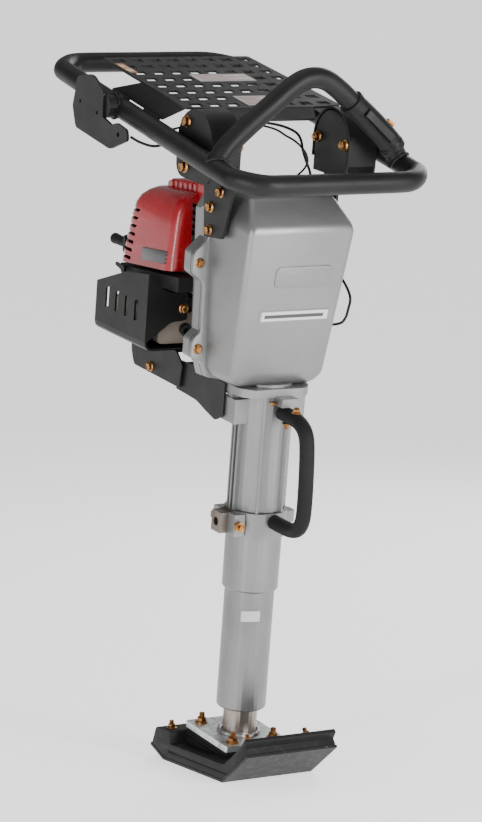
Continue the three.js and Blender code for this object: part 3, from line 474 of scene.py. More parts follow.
def label(name, ground, ink, rows, edge=0.06, margin=0.1, up_axis="Z"):
    """A printed plate with a border and plain bars, and nothing that can be read.
    Lengths are fractions of the plate's own width and height."""
    look = Look(name, ground, 0.35, Coat_Weight=0.4, Coat_Roughness=0.15)
    place = look.node("ShaderNodeSeparateXYZ")
    look.link(look.tree.nodes["Texture Coordinate"].outputs["Generated"], place.inputs["Vector"])

    def between(value, low, high):
        above = look.node("ShaderNodeMath", operation="GREATER_THAN")
        above.inputs[1].default_value = low
        look.link(value, above.inputs[0])
        below = look.node("ShaderNodeMath", operation="LESS_THAN")
        below.inputs[1].default_value = high
        look.link(value, below.inputs[0])
        return product(above.outputs[0], below.outputs[0])

    def product(a, b):
        both = look.node("ShaderNodeMath", operation="MULTIPLY")
        look.link(a, both.inputs[0])
        look.link(b, both.inputs[1])
        return both.outputs[0]

    along, up = place.outputs["X"], place.outputs[up_axis]
    for index in range(rows):
        step = (1 - 2 * margin) / rows
        low = margin + index * step
        bar_end = 0.9 - 0.17 * ((index * 2) % 3)
        bar = product(between(along, 0.08, bar_end), between(up, low + 0.25 * step, low + 0.7 * step))
        look.tint(bar, ink)
    side_edge = edge * 0.4
    inside = product(between(along, side_edge, 1 - side_edge), between(up, edge, 1 - edge))
    outside = look.node("ShaderNodeMath", operation="SUBTRACT")
    outside.inputs[0].default_value = 1
    look.link(inside, outside.inputs[1])
    look.tint(outside.outputs[0], [c * 0.35 for c in ground])
    look.bump(look.noise(600, 3), 0.06, 0.0002)
    return look.material


COAT = powder_coat("black_coat", (0.0075, 0.0075, 0.0073), 0.44)
DECK_COAT = powder_coat("deck_coat", (0.012, 0.012, 0.0115), 0.48)
CAST = sand_cast("silver_cast", (0.245, 0.247, 0.248), 0.72)
ENGINE_CAST = sand_cast("engine_cast", (0.22, 0.22, 0.215), 0.6)
TUBE_METAL = turned_metal("silver_tube", (0.24, 0.24, 0.243), 0.36, 0.0, (0.5, 0.5, 0.5))
RAM_METAL = turned_metal("ram_steel", (0.3, 0.27, 0.245), 0.34, 0.25, (0.17, 0.12, 0.085))
STEEL = turned_metal("steel", (0.36, 0.355, 0.35), 0.32, 0.15, (0.2, 0.17, 0.14))
BLOCK_STEEL = turned_metal("block_steel", (0.23, 0.195, 0.17), 0.45, 0.32, (0.14, 0.085, 0.06))
WELD_STEEL = turned_metal("weld_steel", (0.42, 0.41, 0.4), 0.4, 0.3, (0.12, 0.1, 0.09))
ZINC_YELLOW = yellow_zinc()
ZINC_PLATE = galvanised()
SHOE = moulded("shoe_block", (0.008, 0.008, 0.0085), 0.54, 0.35, (0.024, 0.024, 0.023))
SOLE = moulded("sole_wear", (0.014, 0.014, 0.014), 0.5, 0.4, (0.07, 0.065, 0.06))
PAD = moulded("pad_rubber", (0.006, 0.006, 0.006), 0.7, 0.3)
RUBBER = moulded("rubber", (0.0065, 0.0065, 0.0067), 0.66, 0.3)
PLASTIC = moulded("black_plastic", (0.007, 0.007, 0.0072), 0.44, 0.25)
CASE = moulded("case_plastic", (0.006, 0.006, 0.0062), 0.5, 0.35)
TANK = moulded("tank_plastic", (0.2, 0.17, 0.14), 0.38, 0.12, Transmission_Weight=0.15)
ORANGE = moulded("orange_plastic", (0.8, 0.24, 0.02), 0.35, 0.08, Coat_Weight=0.3)
SHEATH = moulded("cable_sheath", (0.006, 0.006, 0.006), 0.5, 0.1)
MUFFLER = turned_metal("muffler_metal", (0.2, 0.185, 0.17), 0.46, 0.35, (0.1, 0.06, 0.04))
RED = gloss_red()
LABEL_WHITE = label("label_white", (0.62, 0.6, 0.58), (0.36, 0.12, 0.09), 6, up_axis="Y")
LABEL_PLAIN = label("label_plain", (0.5, 0.48, 0.47), (0.3, 0.3, 0.3), 0, 0.08)
LABEL_STRIP = label("label_strip", (0.6, 0.6, 0.6), (0.03, 0.03, 0.03), 1, 0.1, 0.16)
LABEL_DARK = label("label_dark", (0.02, 0.02, 0.02), (0.3, 0.29, 0.28), 3, 0.1)
LABEL_ORANGE = label("label_orange", (0.66, 0.3, 0.12), (0.7, 0.68, 0.66), 2, 0.08, up_axis="Y")


def dress(node, look, bevel=0.6, segments=2, above=32):
    """Gives a CAD node its material, smooth shading and softly broken edges."""
    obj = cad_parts[node]
    obj.data.materials.clear()
    obj.data.materials.append(look)
    for face in obj.data.polygons:
        face.use_smooth = True
    merge = obj.modifiers.new("flat_faces", "DECIMATE")
    merge.decimate_type = "DISSOLVE"
    merge.angle_limit = math.radians(1.2)
    edges = obj.modifiers.new("edges", "BEVEL")
    edges.width = bevel * MM
    edges.segments = segments
    edges.limit_method = "ANGLE"
    edges.angle_limit = math.radians(above)
    edges.harden_normals = True
    edges.use_clamp_overlap = True


# ---------- the camera

CAMERA_AT = Vector((-2.496, -4.342, 1.128))
LOOK_ALONG = Vector((0.496, 0.860, -0.1193))
LENS, SENSOR = 151.6, 36
SEEN_TO = 400  # metres, beyond the corners of the floor

camera_data = bpy.data.cameras.new("camera")
camera_data.lens = LENS
camera_data.sensor_width = SENSOR
camera_data.clip_end = SEEN_TO
camera = bpy.data.objects.new("camera", camera_data)
camera.matrix_world = Matrix.Translation(CAMERA_AT) @ LOOK_ALONG.to_track_quat("-Z", "Y").to_matrix().to_4x4()
bpy.context.scene.collection.objects.link(camera)
bpy.context.scene.camera = camera

# ---------- cords

THROTTLE_CABLE = [
    (-176.5, 126, 920), (-165, 116, 913.5), (-149, 107, 909.5), (-134, 101, 913.5), (-118, 98, 924),
    (-100, 96, 933), (-70, 93, 940), (-30, 92, 944), (10, 91, 944), (40, 91, 940), (62, 92, 934),
    (78, 92, 926), (86, 92, 915), (90, 92, 901), (97, 93, 886), (105, 92, 868),
    (109, 90, 845), (110, 86, 815), (112, 80, 785), (116, 68, 758), (124, 44, 738),
    (129, 16, 722), (130, -4, 703), (129, -3, 684), (132, 8, 668), (133, 24, 657),
    (128, 52, 650), (118, 86, 653), (105, 122, 662), (92, 148, 673), (79, 172, 681),
]
STOP_WIRE = [
    (-132.6, 96, 934), (-112, 84, 941), (-80, 70, 947), (-44, 60, 949), (-12, 54, 947),
    (18, 54, 940), (38, 57, 930), (56, 60, 921), (71, 63, 910), (83, 69, 898),
    (90, 77, 886), (90, 88, 872), (80, 102, 856), (62, 114, 842), (46, 124, 832),
    (38, 133.5, 824),
]


def cord(name, route, radius):
    """A cord between the handle and the engine, as one fixed tube along its route."""
    points = catmull(route)
    cable = piece(
        name, tube(points, radius, sides=14), SHEATH, "machine", "cable_sheath",
        stands_for=[name], riding=False,
    )
    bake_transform(cable)


cord("throttle_cable", THROTTLE_CABLE, 2.0)
cord("stop_wire", STOP_WIRE, 1.6)

# ---------- fasteners


THREAD_PITCH = 1.3


def flange_bolt(bm, at, direction, size=8.0, shank=0.0):
    """A hexagon head on its own flange, size being the thread's width. With a shank it is a nut,
    and the thread stands out of it by that much."""
    place = aim(at, direction)
    turned(bm, [
        (0, 0), (1.12 * size, 0), (1.12 * size, 0.1 * size), (0.9 * size, 0.3 * size), (0, 0.3 * size),
    ], place, 28)
    turned(bm, [
        (0, 0.2 * size), (0.78 * size, 0.2 * size), (0.86 * size, 0.32 * size),
        (0.86 * size, 0.82 * size), (0.72 * size, 0.94 * size),
        (0.58 * size, 0.94 * size), (0.5 * size, 0.84 * size), (0, 0.84 * size),
    ], place, 6)
    if shank:
        top = 0.84 * size
        thread = [(0, 0.5 * size)]
        for k in range(int(shank / THREAD_PITCH)):
            root = (0.44 * size, top + k * THREAD_PITCH)
            crest = (0.5 * size, top + (k + 0.5) * THREAD_PITCH)
            thread += [root, crest]
        thread += [(0.4 * size, top + shank), (0, top + shank)]
        turned(bm, thread, place, 20)
    return bm


def bolts(name, places, body, size=8.0, shank=0.0, **options):
    """One piece holding a flange bolt at each (point, direction)."""
    bm = bmesh.new()
    for at, direction in places:
        flange_bolt(bm, at, direction, size, shank)
    return piece(name, bm, ZINC_YELLOW, body, "yellow_zinc", sharp=30, **options)


def weld(points, radius, name, body, look, slot):
    """A lumpy bead along closely spaced points."""
    count = len(points)

    def lumps(t):
        coarse, fine = math.sin(t * count * 0.7), math.sin(t * count * 1.9)
        return radius * (1 + 0.16 * fine + 0.08 * coarse)

    return piece(name, tube(points, lumps, sides=10), look, body, slot, sharp=60)


def ring(centre, radius, axis=(0, 0, 1), steps=72):
    """Points round a full circle, the last on the first."""
    place = aim(centre, axis)
    angles = [2 * math.pi * k / steps for k in range(steps + 1)]
    return [place @ Vector((radius * math.cos(a), radius * math.sin(a), 0)) for a in angles]


FRONT, REAR, LEFT, RIGHT, UP, DOWN = (0, -1, 0), (0, 1, 0), (-1, 0, 0), (1, 0, 0), (0, 0, 1), (0, 0, -1)

# ---------- shoe

SHOE_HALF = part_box("sole_plate")[1].x / MM
SOLE_FRONT, SOLE_REAR, DECK_HEIGHT = -90, 88, 27
GROOVE_DEPTH, POCKET_RADIUS = 1.6, 7.4
TOE_HEAD = [(0, -2), (8.5, -2), (8.5, 0.1), (7.4, 0.7), (4.6, 0.5), (4.2, -0.9), (0, -0.9)]
TOE_BOSS = [(0, -16), (11.5, -16), (9.5, -0.8), (8.7, 0), (0, 0)]


def shoe():
    """The block between sole and foot plate, grooved along its sides, with pockets for the bolts."""
    profile = [
        (SOLE_REAR - 1, 4.3), (123, 19.5, 2), (110, 46, 5), (69, 46, 4), (66, DECK_HEIGHT, 3),
        (-93, DECK_HEIGHT, 8), (-140, 60, 4), (-150, 71.5, 3), (-155, 76, 2),
        (-160, 71.5, 2), (-153, 61), (-158.4, 53.2), (SOLE_FRONT + 1.2, 4.3),
    ]
    body = slab(profile, "x", -SHOE_HALF + 0.5, SHOE_HALF - 0.5)
    step = [(SOLE_FRONT - 20, 14), (72, 14), (72, 17), (SOLE_FRONT - 20, 17)]
    grooves = []
    for side in (-1, 1):
        wall = side * SHOE_HALF
        grooves.append(slab(step, "x", wall - GROOVE_DEPTH, wall + GROOVE_DEPTH))
    pockets = []
    for number in (1, 2, 3, 4):
        low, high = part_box(f"plate_bolt_{number}")
        centre = (low + high) / 2 / MM
        foot = Vector((centre.x, centre.y - 2, low.z / MM - 2))
        pockets.append(drill(POCKET_RADIUS, 40, aim(foot, (0, -math.sin(LEAN), 1))))
    return round_edges(cut(body, *grooves, *pockets), 1.4, 3, 40)


piece("shoe_moulding", shoe(), SHOE, "foot", "shoe_plastic", ["shoe_block"], place=LEVEL, sharp=30)
dress("sole_plate", SOLE, 0.9, 3)
dress("wedge_pad", PAD, 0.5)
dress("foot_plate", ZINC_PLATE, 0.9, 3)

# Two screws hold the sole's turned-up toe. Their nuts stand on bosses of the block.
toe_nuts = [((side * 48, -122, 61.5), (0, 0.61, 0.79)) for side in (-1, 1)]
bolts("toe_nuts", toe_nuts, "foot", size=7.0, shank=7, place=LEVEL)
bosses = bmesh.new()
for at, direction in toe_nuts:
    turned(bosses, TOE_BOSS, aim(at, direction), 28)
piece("toe_bosses", bosses, SHOE, "foot", "shoe_plastic", place=LEVEL, sharp=30)
heads = bmesh.new()
for side in (-1, 1):
    turned(heads, TOE_HEAD, aim((side * 50, -135.4, 32.2), (0, -0.59, -0.807)), 28)
piece("toe_screw_heads", heads, STEEL, "foot", "dark_steel", place=LEVEL)
heel_nuts = [((side * 60, 88, 46.2), UP) for side in (-1, 1)]
bolts("heel_nuts", heel_nuts, "foot", size=7.0, shank=6, place=LEVEL)

plate_top = span("foot_plate")[1].z
for number in (1, 2, 3, 4):
    name = f"plate_bolt_{number}"
    low, high = span(name)
    at = ((low.x + high.x) / 2, (low.y + high.y) / 2, plate_top + 0.3)
    bolts(f"{name}_detail", [(at, UP)], "foot", size=8.6, shank=8, stands_for=[name])

dress("ram_tube", RAM_METAL, 0.5)
ram_foot = ring((0, 0, plate_top + 2.4), radius=28.5)
weld(ram_foot, 3.4, "ram_weld", "foot", WELD_STEEL, "dark_steel")
for node in ("ram_cap", "lower_spring", "upper_spring"):
    dress(node, STEEL, 0.2)

# ---------- sleeves and clamp

dress("lower_sleeve", TUBE_METAL, 1.0, 3)
dress("upper_sleeve", TUBE_METAL, 1.4, 3)
dress("clamp_collar", CAST, 1.6, 3)
dress("clamp_block", BLOCK_STEEL, 1.0, 3)
dress("clamp_bolt", ZINC_YELLOW, 0.5)
dress("guide_cylinder", CAST, 0.9, 3)
for node in ("guide_bush", "upper_bush"):
    dress(node, PLASTIC, 0.4)


def curved_label(name, look, radius, height, wide, tall, turn, steps=14):
    """A thin sticker wrapped round a sleeve. turn is the angle from the front, in degrees."""
    bm = bmesh.new()
    half = wide / radius / 2
    middle = math.radians(turn) - math.pi / 2
    angles = [middle + half * (2 * k / steps - 1) for k in range(steps + 1)]
    shells = []
    for r in (radius + 0.1, radius + 0.5):
        shells.append([[bm.verts.new((r * math.cos(a), r * math.sin(a), height + dz)) for a in angles]
                       for dz in (-tall / 2, tall / 2)])
    inner, outer = shells
    for k in range(steps):
        bm.faces.new((outer[0][k], outer[0][k + 1], outer[1][k + 1], outer[1][k]))
        bm.faces.new((inner[0][k], inner[1][k], inner[1][k + 1], inner[0][k + 1]))
        bm.faces.new((inner[0][k], inner[0][k + 1], outer[0][k + 1], outer[0][k]))
        bm.faces.new((inner[1][k], outer[1][k], outer[1][k + 1], inner[1][k + 1]))
    for k in (0, steps):
        bm.faces.new((inner[0][k], outer[0][k], outer[1][k], inner[1][k]))
    return piece(name, bm, look, "machine", "galvanised")


sleeve_radius = span("lower_sleeve")[1].x
curved_label("sleeve_sticker", LABEL_PLAIN, sleeve_radius, height=241, wide=30, tall=17, turn=-24)

# ---------- carrying handle

CARRY_RADIUS = 11
CARRY_PATH = [
    (5, -46, 548.5), (5, -70, 548), (5, -96, 545), (5, -113, 534), (5, -120, 514), (5, -124, 470),
    (5, -125, 428), (5, -122, 407), (5, -111, 393), (5, -92, 387), (5, -68, 386), (5, -47.5, 386),
]
piece("carry_handle_grip", tube(catmull(CARRY_PATH), CARRY_RADIUS, sides=32), RUBBER, "machine", "rubber",
      ["carry_handle"], sharp=40)
carry_bolts = [((5, -84, 557.4), UP), ((5, -60, 536.6), DOWN)]
bolts("carry_handle_bolts", carry_bolts, "machine", size=6.5, shank=3)
bolts("carry_handle_anchor", [((-14, -50, 566), DOWN)], "machine", size=5.0)

# ---------- gear housing

HOUSING_FLOOR, PARTING, FLANGE = 583.3, 30, 9  # FLANGE is its thickness, in front of the parting
COVER_FOOT, COVER_BROW = Vector((0, -34, 597)), Vector((0, -76, 822))
COVER_OUTER = [
    (60, -26, HOUSING_FLOOR), (60, PARTING, HOUSING_FLOOR), (75, -34, 597), (88, PARTING, 597),
    (86, -76, 822), (95, PARTING, 832), (69, -37, 860), (69, PARTING, 862),
]
COVER_INNER = [
    (48, -20, 588), (48, PARTING + 5, 588), (69, -29, 602), (82, PARTING + 5, 602),
    (80, -70, 819), (89, PARTING + 5, 829), (65, -34, 854), (65, PARTING + 5, 856),
]
FLANGE_SIDE = [
    (60, HOUSING_FLOOR), (88, 590, 6), (95, 612, 6), (112, 619, 6), (112, 646, 8), (99, 657, 6),
    (100, 728, 6), (119, 742, 8), (119, 772, 8), (97, 792, 8), (96.5, 834, 10), (71, 866, 10),
]


def both_sides(side):
    return side + [(-u, *rest) for u, *rest in reversed(side)]


def cover():
    """The front cover: a hollow shell, its bolted flange and the lip round the fork's way."""
    shell = hull(mirrored(COVER_OUTER), 8.5, 6, 12)
    flange = slab(both_sides(FLANGE_SIDE), "y", PARTING - FLANGE, PARTING)
    round_edges(flange, 1.6, 3, 50)
    lip = slab([(-30, -18), (-30, -30, 8), (-12, -39, 8), (12, -39, 8), (30, -30, 8), (30, -18)],
               "z", HOUSING_FLOOR, HOUSING_FLOOR + 4)
    fork_way = brick((-34, 34), (-24, PARTING + 5), (HOUSING_FLOOR - 20, 600))
    return cut(join(shell, flange, lip), hull(mirrored(COVER_INNER)), fork_way)


piece("front_cover_casting", cover(), CAST, "machine", "cast_aluminium", ["front_cover"], sharp=24)
dress("rear_housing", CAST, 1.6, 3)

ears = [(side * x, z) for side in (-1, 1) for x, z in ((109, 757), (103, 632))]
bolts("flange_bolts", [((x, PARTING - FLANGE, z), FRONT) for x, z in ears], "machine", size=6.6)

# The cover carries a plain raised pad and a plate with one plain bar.
COVER_SLOPE = (COVER_BROW - COVER_FOOT).normalized()
COVER_FACING = Vector((0, -COVER_SLOPE.z, COVER_SLOPE.y))


def on_cover(points, thickness, lift):
    """A thin plate lying on the cover's sloping front face. v runs up the face."""
    bm = prism(outline(points), "y", 0, thickness)
    across = Matrix((
        (1, 0, 0, COVER_FOOT.x),
        (0, -COVER_FACING.y, COVER_SLOPE.y, COVER_FOOT.y),
        (0, -COVER_FACING.z, COVER_SLOPE.z, COVER_FOOT.z),
        (0, 0, 0, 1),
    ))
    shift = Matrix.Translation(COVER_FACING * lift)
    bmesh.ops.transform(bm, matrix=shift @ across, verts=bm.verts)
    return bm


plate = on_cover(rectangle((-50, 68), (88, 105), 2), 0.9, 0.8)
piece("cover_plate", plate, LABEL_STRIP, "machine", "galvanised")
relief = on_cover(rectangle((-34, 58), (140, 172), 9), 2.2, 1.6)
round_edges(relief, 1.1, 3, 40)
piece("cover_relief", relief, CAST, "machine", "cast_aluminium", sharp=40)

for node in ("crank_gear", "connecting_rod", "piston_rod", "pinion_shaft", "clutch_drum", "clutch_rotor"):
    dress(node, STEEL, 0.25)
for node in ("wrist_pin", "crankshaft"):
    dress(node, STEEL, 0.4)
dress("flywheel_fan", ENGINE_CAST, 0.4)
dress("engine_block", ENGINE_CAST, 1.2)

# ---------- engine hood

# Levels from the bottom up: height in front, height behind, half width, front, rear, corner radius.
HOOD_LAYERS = [
    (720, 703, 95, 132, 295, 26), (741, 728, 94, 132, 293, 28), (762, 752, 92, 132, 290, 31),
    (784, 776, 90, 133, 288, 33), (803, 797, 87, 134, 284, 34), (816, 808, 82, 136, 278, 34),
    (825, 816, 75, 138.5, 269, 33), (831, 821.5, 66, 142, 259, 30), (834.5, 824, 52, 146, 245, 24),
]
HOOD_RIGHT = 0.8  # the right half is narrower than the left by this factor
HOOD_WALL = 2.6
HOOD_FRONT_CORNER = 16
UPRIGHT_LEVELS = 4  # the lowest levels, where the hood's wall is nearly upright
SLOTS, SLOT_PITCH, SLOT_TALL = 7, 12, 5.2


def hood_ring(front_z, rear_z, half, front, rear, corner, steps=8):
    """One level of the hood, seen from above: a rectangle with round corners, lower behind."""
    front_corner = min(corner, HOOD_FRONT_CORNER)
    right = half * HOOD_RIGHT
    corners = [
        (right, front, front_corner), (-half, front, front_corner),
        (-half, rear, corner), (right, rear, corner),
    ]
    found = []
    for k, (x, y, r) in enumerate(corners):
        centre_x = x - r if x > 0 else x + r
        centre_y = y + r if y == front else y - r
        for s in range(steps + 1):
            a = math.radians(-90 * k - 90 * s / steps)
            px, py = centre_x + r * math.cos(a), centre_y + r * math.sin(a)
            t = (py - front) / (rear - front)
            found.append(Vector((px, py, front_z + (rear_z - front_z) * t)))
    return found


def hood():
    """A shell, open below and in front, with a bore behind and slots in its left rear corner."""
    outer = loft([hood_ring(*level) for level in HOOD_LAYERS])
    inner_levels = []
    for index, (fz, rz, half, front, rear, corner) in enumerate(HOOD_LAYERS):
        drop = HOOD_WALL if index >= UPRIGHT_LEVELS else 0
        if index == 0:
            drop = 14
        inner_levels.append((
            fz - drop, rz - drop, half - HOOD_WALL, front + HOOD_WALL,
            rear - HOOD_WALL, max(corner - HOOD_WALL, 8),
        ))
    inner = loft([hood_ring(*level) for level in inner_levels])
    shaft = aim((0, 250, span("crankshaft")[0].z + 8), REAR)
    bore = drill(50, 90, shaft, 48)
    window = brick((-62, 62), (120, 150), (680, 818))
    slots = []
    for i in range(SLOTS):
        low = 712 + i * SLOT_PITCH
        high = low + SLOT_TALL
        front = 252 - i * 1.5
        slots.append(slab([(front, low), (320, low), (320, high), (front, high)], "x", -112, -64))
    return cut(outer, inner, bore, window, *slots)


piece("engine_hood", hood(), RED, "machine", "red_plastic", ["engine_shroud"], sharp=34)

duct_low, duct_high = span("top_duct")
DUCT_RIBS, DUCT_PITCH = 6, 14


def duct():
    """A raised duct, lower behind, with flat ribs across its top."""
    front, rear = duct_low.y, duct_high.y
    sides = (duct_low.x + 2, duct_high.x - 2)
    body = slab([(front, 824), (front, 846, 6), (rear, 834, 7), (rear, 818)], "x", *sides)
    ribs = []
    for i in range(DUCT_RIBS):
        y = rear - 12 - i * DUCT_PITCH
        top = 837 + (rear - y) * 0.11
        rib = [(duct_low.x, 822), (duct_low.x, top, 5), (duct_high.x, top, 5), (duct_high.x, 822)]
        ribs.append(slab(rib, "y", y - 6, y))
    return round_edges(join(body, *ribs), 0.9, 3, 40)


piece("hood_duct", duct(), RED, "machine", "red_plastic", ["top_duct"], sharp=30)

plate = slab([(145, 728, 2), (217, 720, 2), (217, 739, 2), (145, 747, 2)], "x", -95.6, -92.8)
round_edges(plate, 0.4, 2, 40)
piece("hood_plate", plate, LABEL_DARK, "machine", "black_plastic")

dress("recoil_cover", PLASTIC, 1.4, 3)
grip_low, grip_high = span("recoil_grip")
grip_axis = aim(((grip_low.x + grip_high.x) / 2, grip_low.y, (grip_low.z + grip_high.z) / 2), REAR)
pull = turned(bmesh.new(), [
    (0, 0), (6, 0), (8.2, 2.5), (8.2, 6), (7.2, 9), (7.0, 12), (7.6, 16), (7.2, 20), (7.7, 24), (7.2, 28),
    (7.8, 32), (7.4, 36), (8.4, 40), (8.2, 44), (6.5, 47), (0, 47),
], grip_axis, 32)
piece("starter_grip", pull, RUBBER, "starter", "rubber", ["recoil_grip"])
# The rope's first stretch waits inside the engine and comes out when the grip is pulled.
ROPE_LENGTH, ROPE_RADIUS = 96, 1.7
grip_middle = (grip_low + grip_high) / 2
stops = (-ROPE_LENGTH, -60, -30, 1)
rope = [Vector((grip_middle.x, grip_low.y + reach, grip_middle.z)) for reach in stops]
piece("starter_rope", tube(rope, ROPE_RADIUS, sides=12), RUBBER, "starter", "rubber")

dress("air_cleaner_case", CASE, 2.2, 3)
dress("fuel_tank", TANK, 2.5, 3)
dress("fuel_cap", PLASTIC, 0.8)
dress("choke_lever", PLASTIC, 0.4)
dress("muffler", MUFFLER, 2.0, 3)

# ---------- guards and skids

for node in ("tank_guard", "rear_skid", "front_skid"):
    dress(node, COAT, 0.6)

bolts("guard_bolt", [((-57, span("tank_guard")[0].y, 660), FRONT)], "machine", size=7.0)
drain = turned(bmesh.new(), [(0, 0), (9, 0), (9, 26), (8, 27), (5.5, 27), (5.5, 16), (0, 16)],
               aim((-48, span("fuel_tank")[0].y + 1, 627), (-0.35, -0.93, 0.08)), 28)
piece("tank_drain", drain, RUBBER, "machine", "rubber")
skid_low, skid_high = span("rear_skid")
skid_bolts = [((skid_low.x, 220, 557), LEFT), ((skid_high.x, 220, 557), RIGHT)]
bolts("skid_bolts", skid_bolts, "machine", size=7.0)
under_flange = [((side * 52, 12, 571.5), DOWN) for side in (-1, 1)]
bolts("cylinder_flange_bolts", under_flange, "machine", size=4.8)

# ---------- handle mounts

ARCH_Y, ARCH_Z, ARCH_R = 14, 928, 50
ARCH_FOOT, ARCH_SHOULDER, FOOT_HALF, DRUM_WALL = 877, 900, 26, 3
LEG_BOLTS = {"left": [(-12, 865), (14, 839), (14, 806)], "right": [(24, 866), (23, 839), (22, 808)]}


def arch(inset, straight_to=None, steps=28):
    """The bracket's outline from the side: a half circle on a foot that narrows, or that runs
    straight down to a height."""
    r = ARCH_R - inset
    loop = []
    for k in range(steps + 1):
        a = math.pi * k / steps
        loop.append(Vector((ARCH_Y + r * math.cos(a), ARCH_Z + r * math.sin(a))))
    if straight_to:
        return loop + [Vector((ARCH_Y - r, straight_to)), Vector((ARCH_Y + r, straight_to))]
    feet = []
    for side in (-1, 1):
        edge = ARCH_Y + side * r
        toe = Vector((ARCH_Y + side * FOOT_HALF, ARCH_FOOT))
        feet.append(bend(Vector((edge, ARCH_SHOULDER)), Vector((edge, ARCH_FOOT)), toe))
    front, rear = feet
    return loop + front + rear[::-1]


for name, side in SIDES:
    dress(f"side_plate_{name}", COAT, 0.5)
    dress(f"isolator_{name}", RUBBER, 1.0)
    low, high = span(f"handle_bracket_{name}")
    inner, outer = sorted((low.x, high.x), key=abs)
    hollow = sorted((inner - side * 5, outer - side * DRUM_WALL))
    bracket = cut(
        prism(arch(0), "x", low.x, high.x),
        prism(arch(DRUM_WALL, ARCH_FOOT - 10), "x", *hollow),
        brick(hollow, (-60, 90), (860, ARCH_SHOULDER)),
    )
    piece(f"bracket_{name}", bracket, COAT, "handle", "black_coat", [f"handle_bracket_{name}"], sharp=32)
    outward, inward = (LEFT, RIGHT) if side < 0 else (RIGHT, LEFT)
    places = [((outer, 38, z), outward) for z in (957, 893)]
    bolts(f"isolator_bolts_{name}", places, "handle", size=8.2)
    plate_inner, plate_outer = sorted((corner.x for corner in span(f"side_plate_{name}")), key=abs)
    places = [((plate_inner, y, 929), inward) for y in (-23, 51)]
    bolts(f"isolator_nuts_{name}", places, "machine", size=8.0, shank=3)
    places = [((plate_outer, y, z), outward) for y, z in LEG_BOLTS[name]]
    bolts(f"side_plate_bolts_{name}", places, "machine", size=7.4)

# ---------- handle frame

TUBE = 15
LOOP_HALF_WIDTH = 151
LOOP_FRONT, LOOP_REAR = Vector((-158, 901.5)), Vector((432, 976))
SLOPE = (LOOP_REAR.y - LOOP_FRONT.y) / (LOOP_REAR.x - LOOP_FRONT.x)
TILT = math.atan(SLOPE)
CORNER = 61
BOW_Y = -72


def on_loop(x, y, lift=0.0):
    """A point of the sloping plane through the loop's middle line, or lift above it."""
    z = LOOP_FRONT.y + (y - LOOP_FRONT.x) * SLOPE + lift * math.cos(TILT)
    return Vector((x, y - lift * math.sin(TILT), z))


def loop_path():
    """The middle line of the loop. Its left half mirrors its right."""
    w = LOOP_HALF_WIDTH
    bend = [(CORNER, 0), (0.5 * CORNER, 0.09 * CORNER), (0.09 * CORNER, 0.5 * CORNER), (0, CORNER)]
    front = [on_loop(w - dx, LOOP_FRONT.x + dy) for dx, dy in bend]
    rear = [on_loop(w - dx, LOOP_REAR.x - dy) for dx, dy in reversed(bend)]
    sides = [on_loop(w, 60), on_loop(w, 220)]
    half = [on_loop(-2, LOOP_FRONT.x), *front, *sides, *rear, on_loop(-2, LOOP_REAR.x)]
    right = [p for p in catmull(half, 0.45, 14) if p.x > 1]
    left = [Vector((-p.x, p.y, p.z)) for p in reversed(right)]
    return right + left


LOOP_PATH = loop_path()
piece("loop_tube", tube(LOOP_PATH, TUBE, sides=40, closed=True), COAT, "handle", "handle_tube",
      ["handle_loop"], sharp=60)

BOW_ARM = [(132, 941), (103, 968), (67, 997), (41, 1018), (20, 1031)]
bow_foot = (LOOP_HALF_WIDTH - 1, on_loop(0, BOW_Y).z + 1.5)
bow_right = [(x, BOW_Y, z) for x, z in [*reversed(BOW_ARM), bow_foot]]
bow_left = [(-x, BOW_Y, z) for x, z in [bow_foot, *BOW_ARM]]
BOW_PATH = catmull([*bow_left, (0, BOW_Y, 1035), *bow_right], 0.5, 12)
piece("bow_tube", tube(BOW_PATH, TUBE, sides=40), COAT, "handle", "handle_tube", ["handle_bow"], sharp=60)


def joint_line(side, steps=64):
    """Where the bow's arm meets the loop tube, as a closed line on both surfaces. Each point of
    the arm's rim slides down along the arm until it lies on the loop tube."""
    end, before = (BOW_PATH[-1], BOW_PATH[-9]) if side > 0 else (BOW_PATH[0], BOW_PATH[8])
    along = (before - end).normalized()
    across = along.cross(Vector((0, 1, 0))).normalized()
    depth = Vector((0, 1, 0))
    loop_along = Vector((0, 1, SLOPE)).normalized()
    found = []
    for k in range(steps + 1):
        a = 2 * math.pi * k / steps
        rim = end + TUBE * (math.cos(a) * across + math.sin(a) * depth)
        reach = 40.0
        while reach > 0:
            offset = rim + along * reach - end
            if (offset - offset.dot(loop_along) * loop_along).length <= TUBE:
                break
            reach -= 0.5
        found.append(rim + along * reach)
    return found


for name, side in SIDES:
    weld(joint_line(side), 2.6, f"bow_weld_{name}", "handle", COAT, "handle_tube")

dress("deck_plate", DECK_COAT, 0.5)
dress("cable_bracket", COAT, 0.6)
tube_side = ring((-162, 207, 950), radius=17.4, axis=RIGHT)
weld(tube_side, 2.2, "bracket_weld", "handle", COAT, "black_coat")

DECK_FRONT, DECK_REAR = Vector((52, 972)), Vector((325, 1001))
DECK_SLOPE = (DECK_REAR - DECK_FRONT).normalized()


def on_deck(points, thickness):
    """A sticker on the deck. Points are across and back along the sheet."""
    bm = prism(outline(points), "z", 0.1, thickness)
    across = Matrix((
        (1, 0, 0, 0),
        (0, DECK_SLOPE.x, -DECK_SLOPE.y, DECK_FRONT.x),
        (0, DECK_SLOPE.y, DECK_SLOPE.x, DECK_FRONT.y),
        (0, 0, 0, 1),
    ))
    bmesh.ops.transform(bm, matrix=across, verts=bm.verts)
    return bm


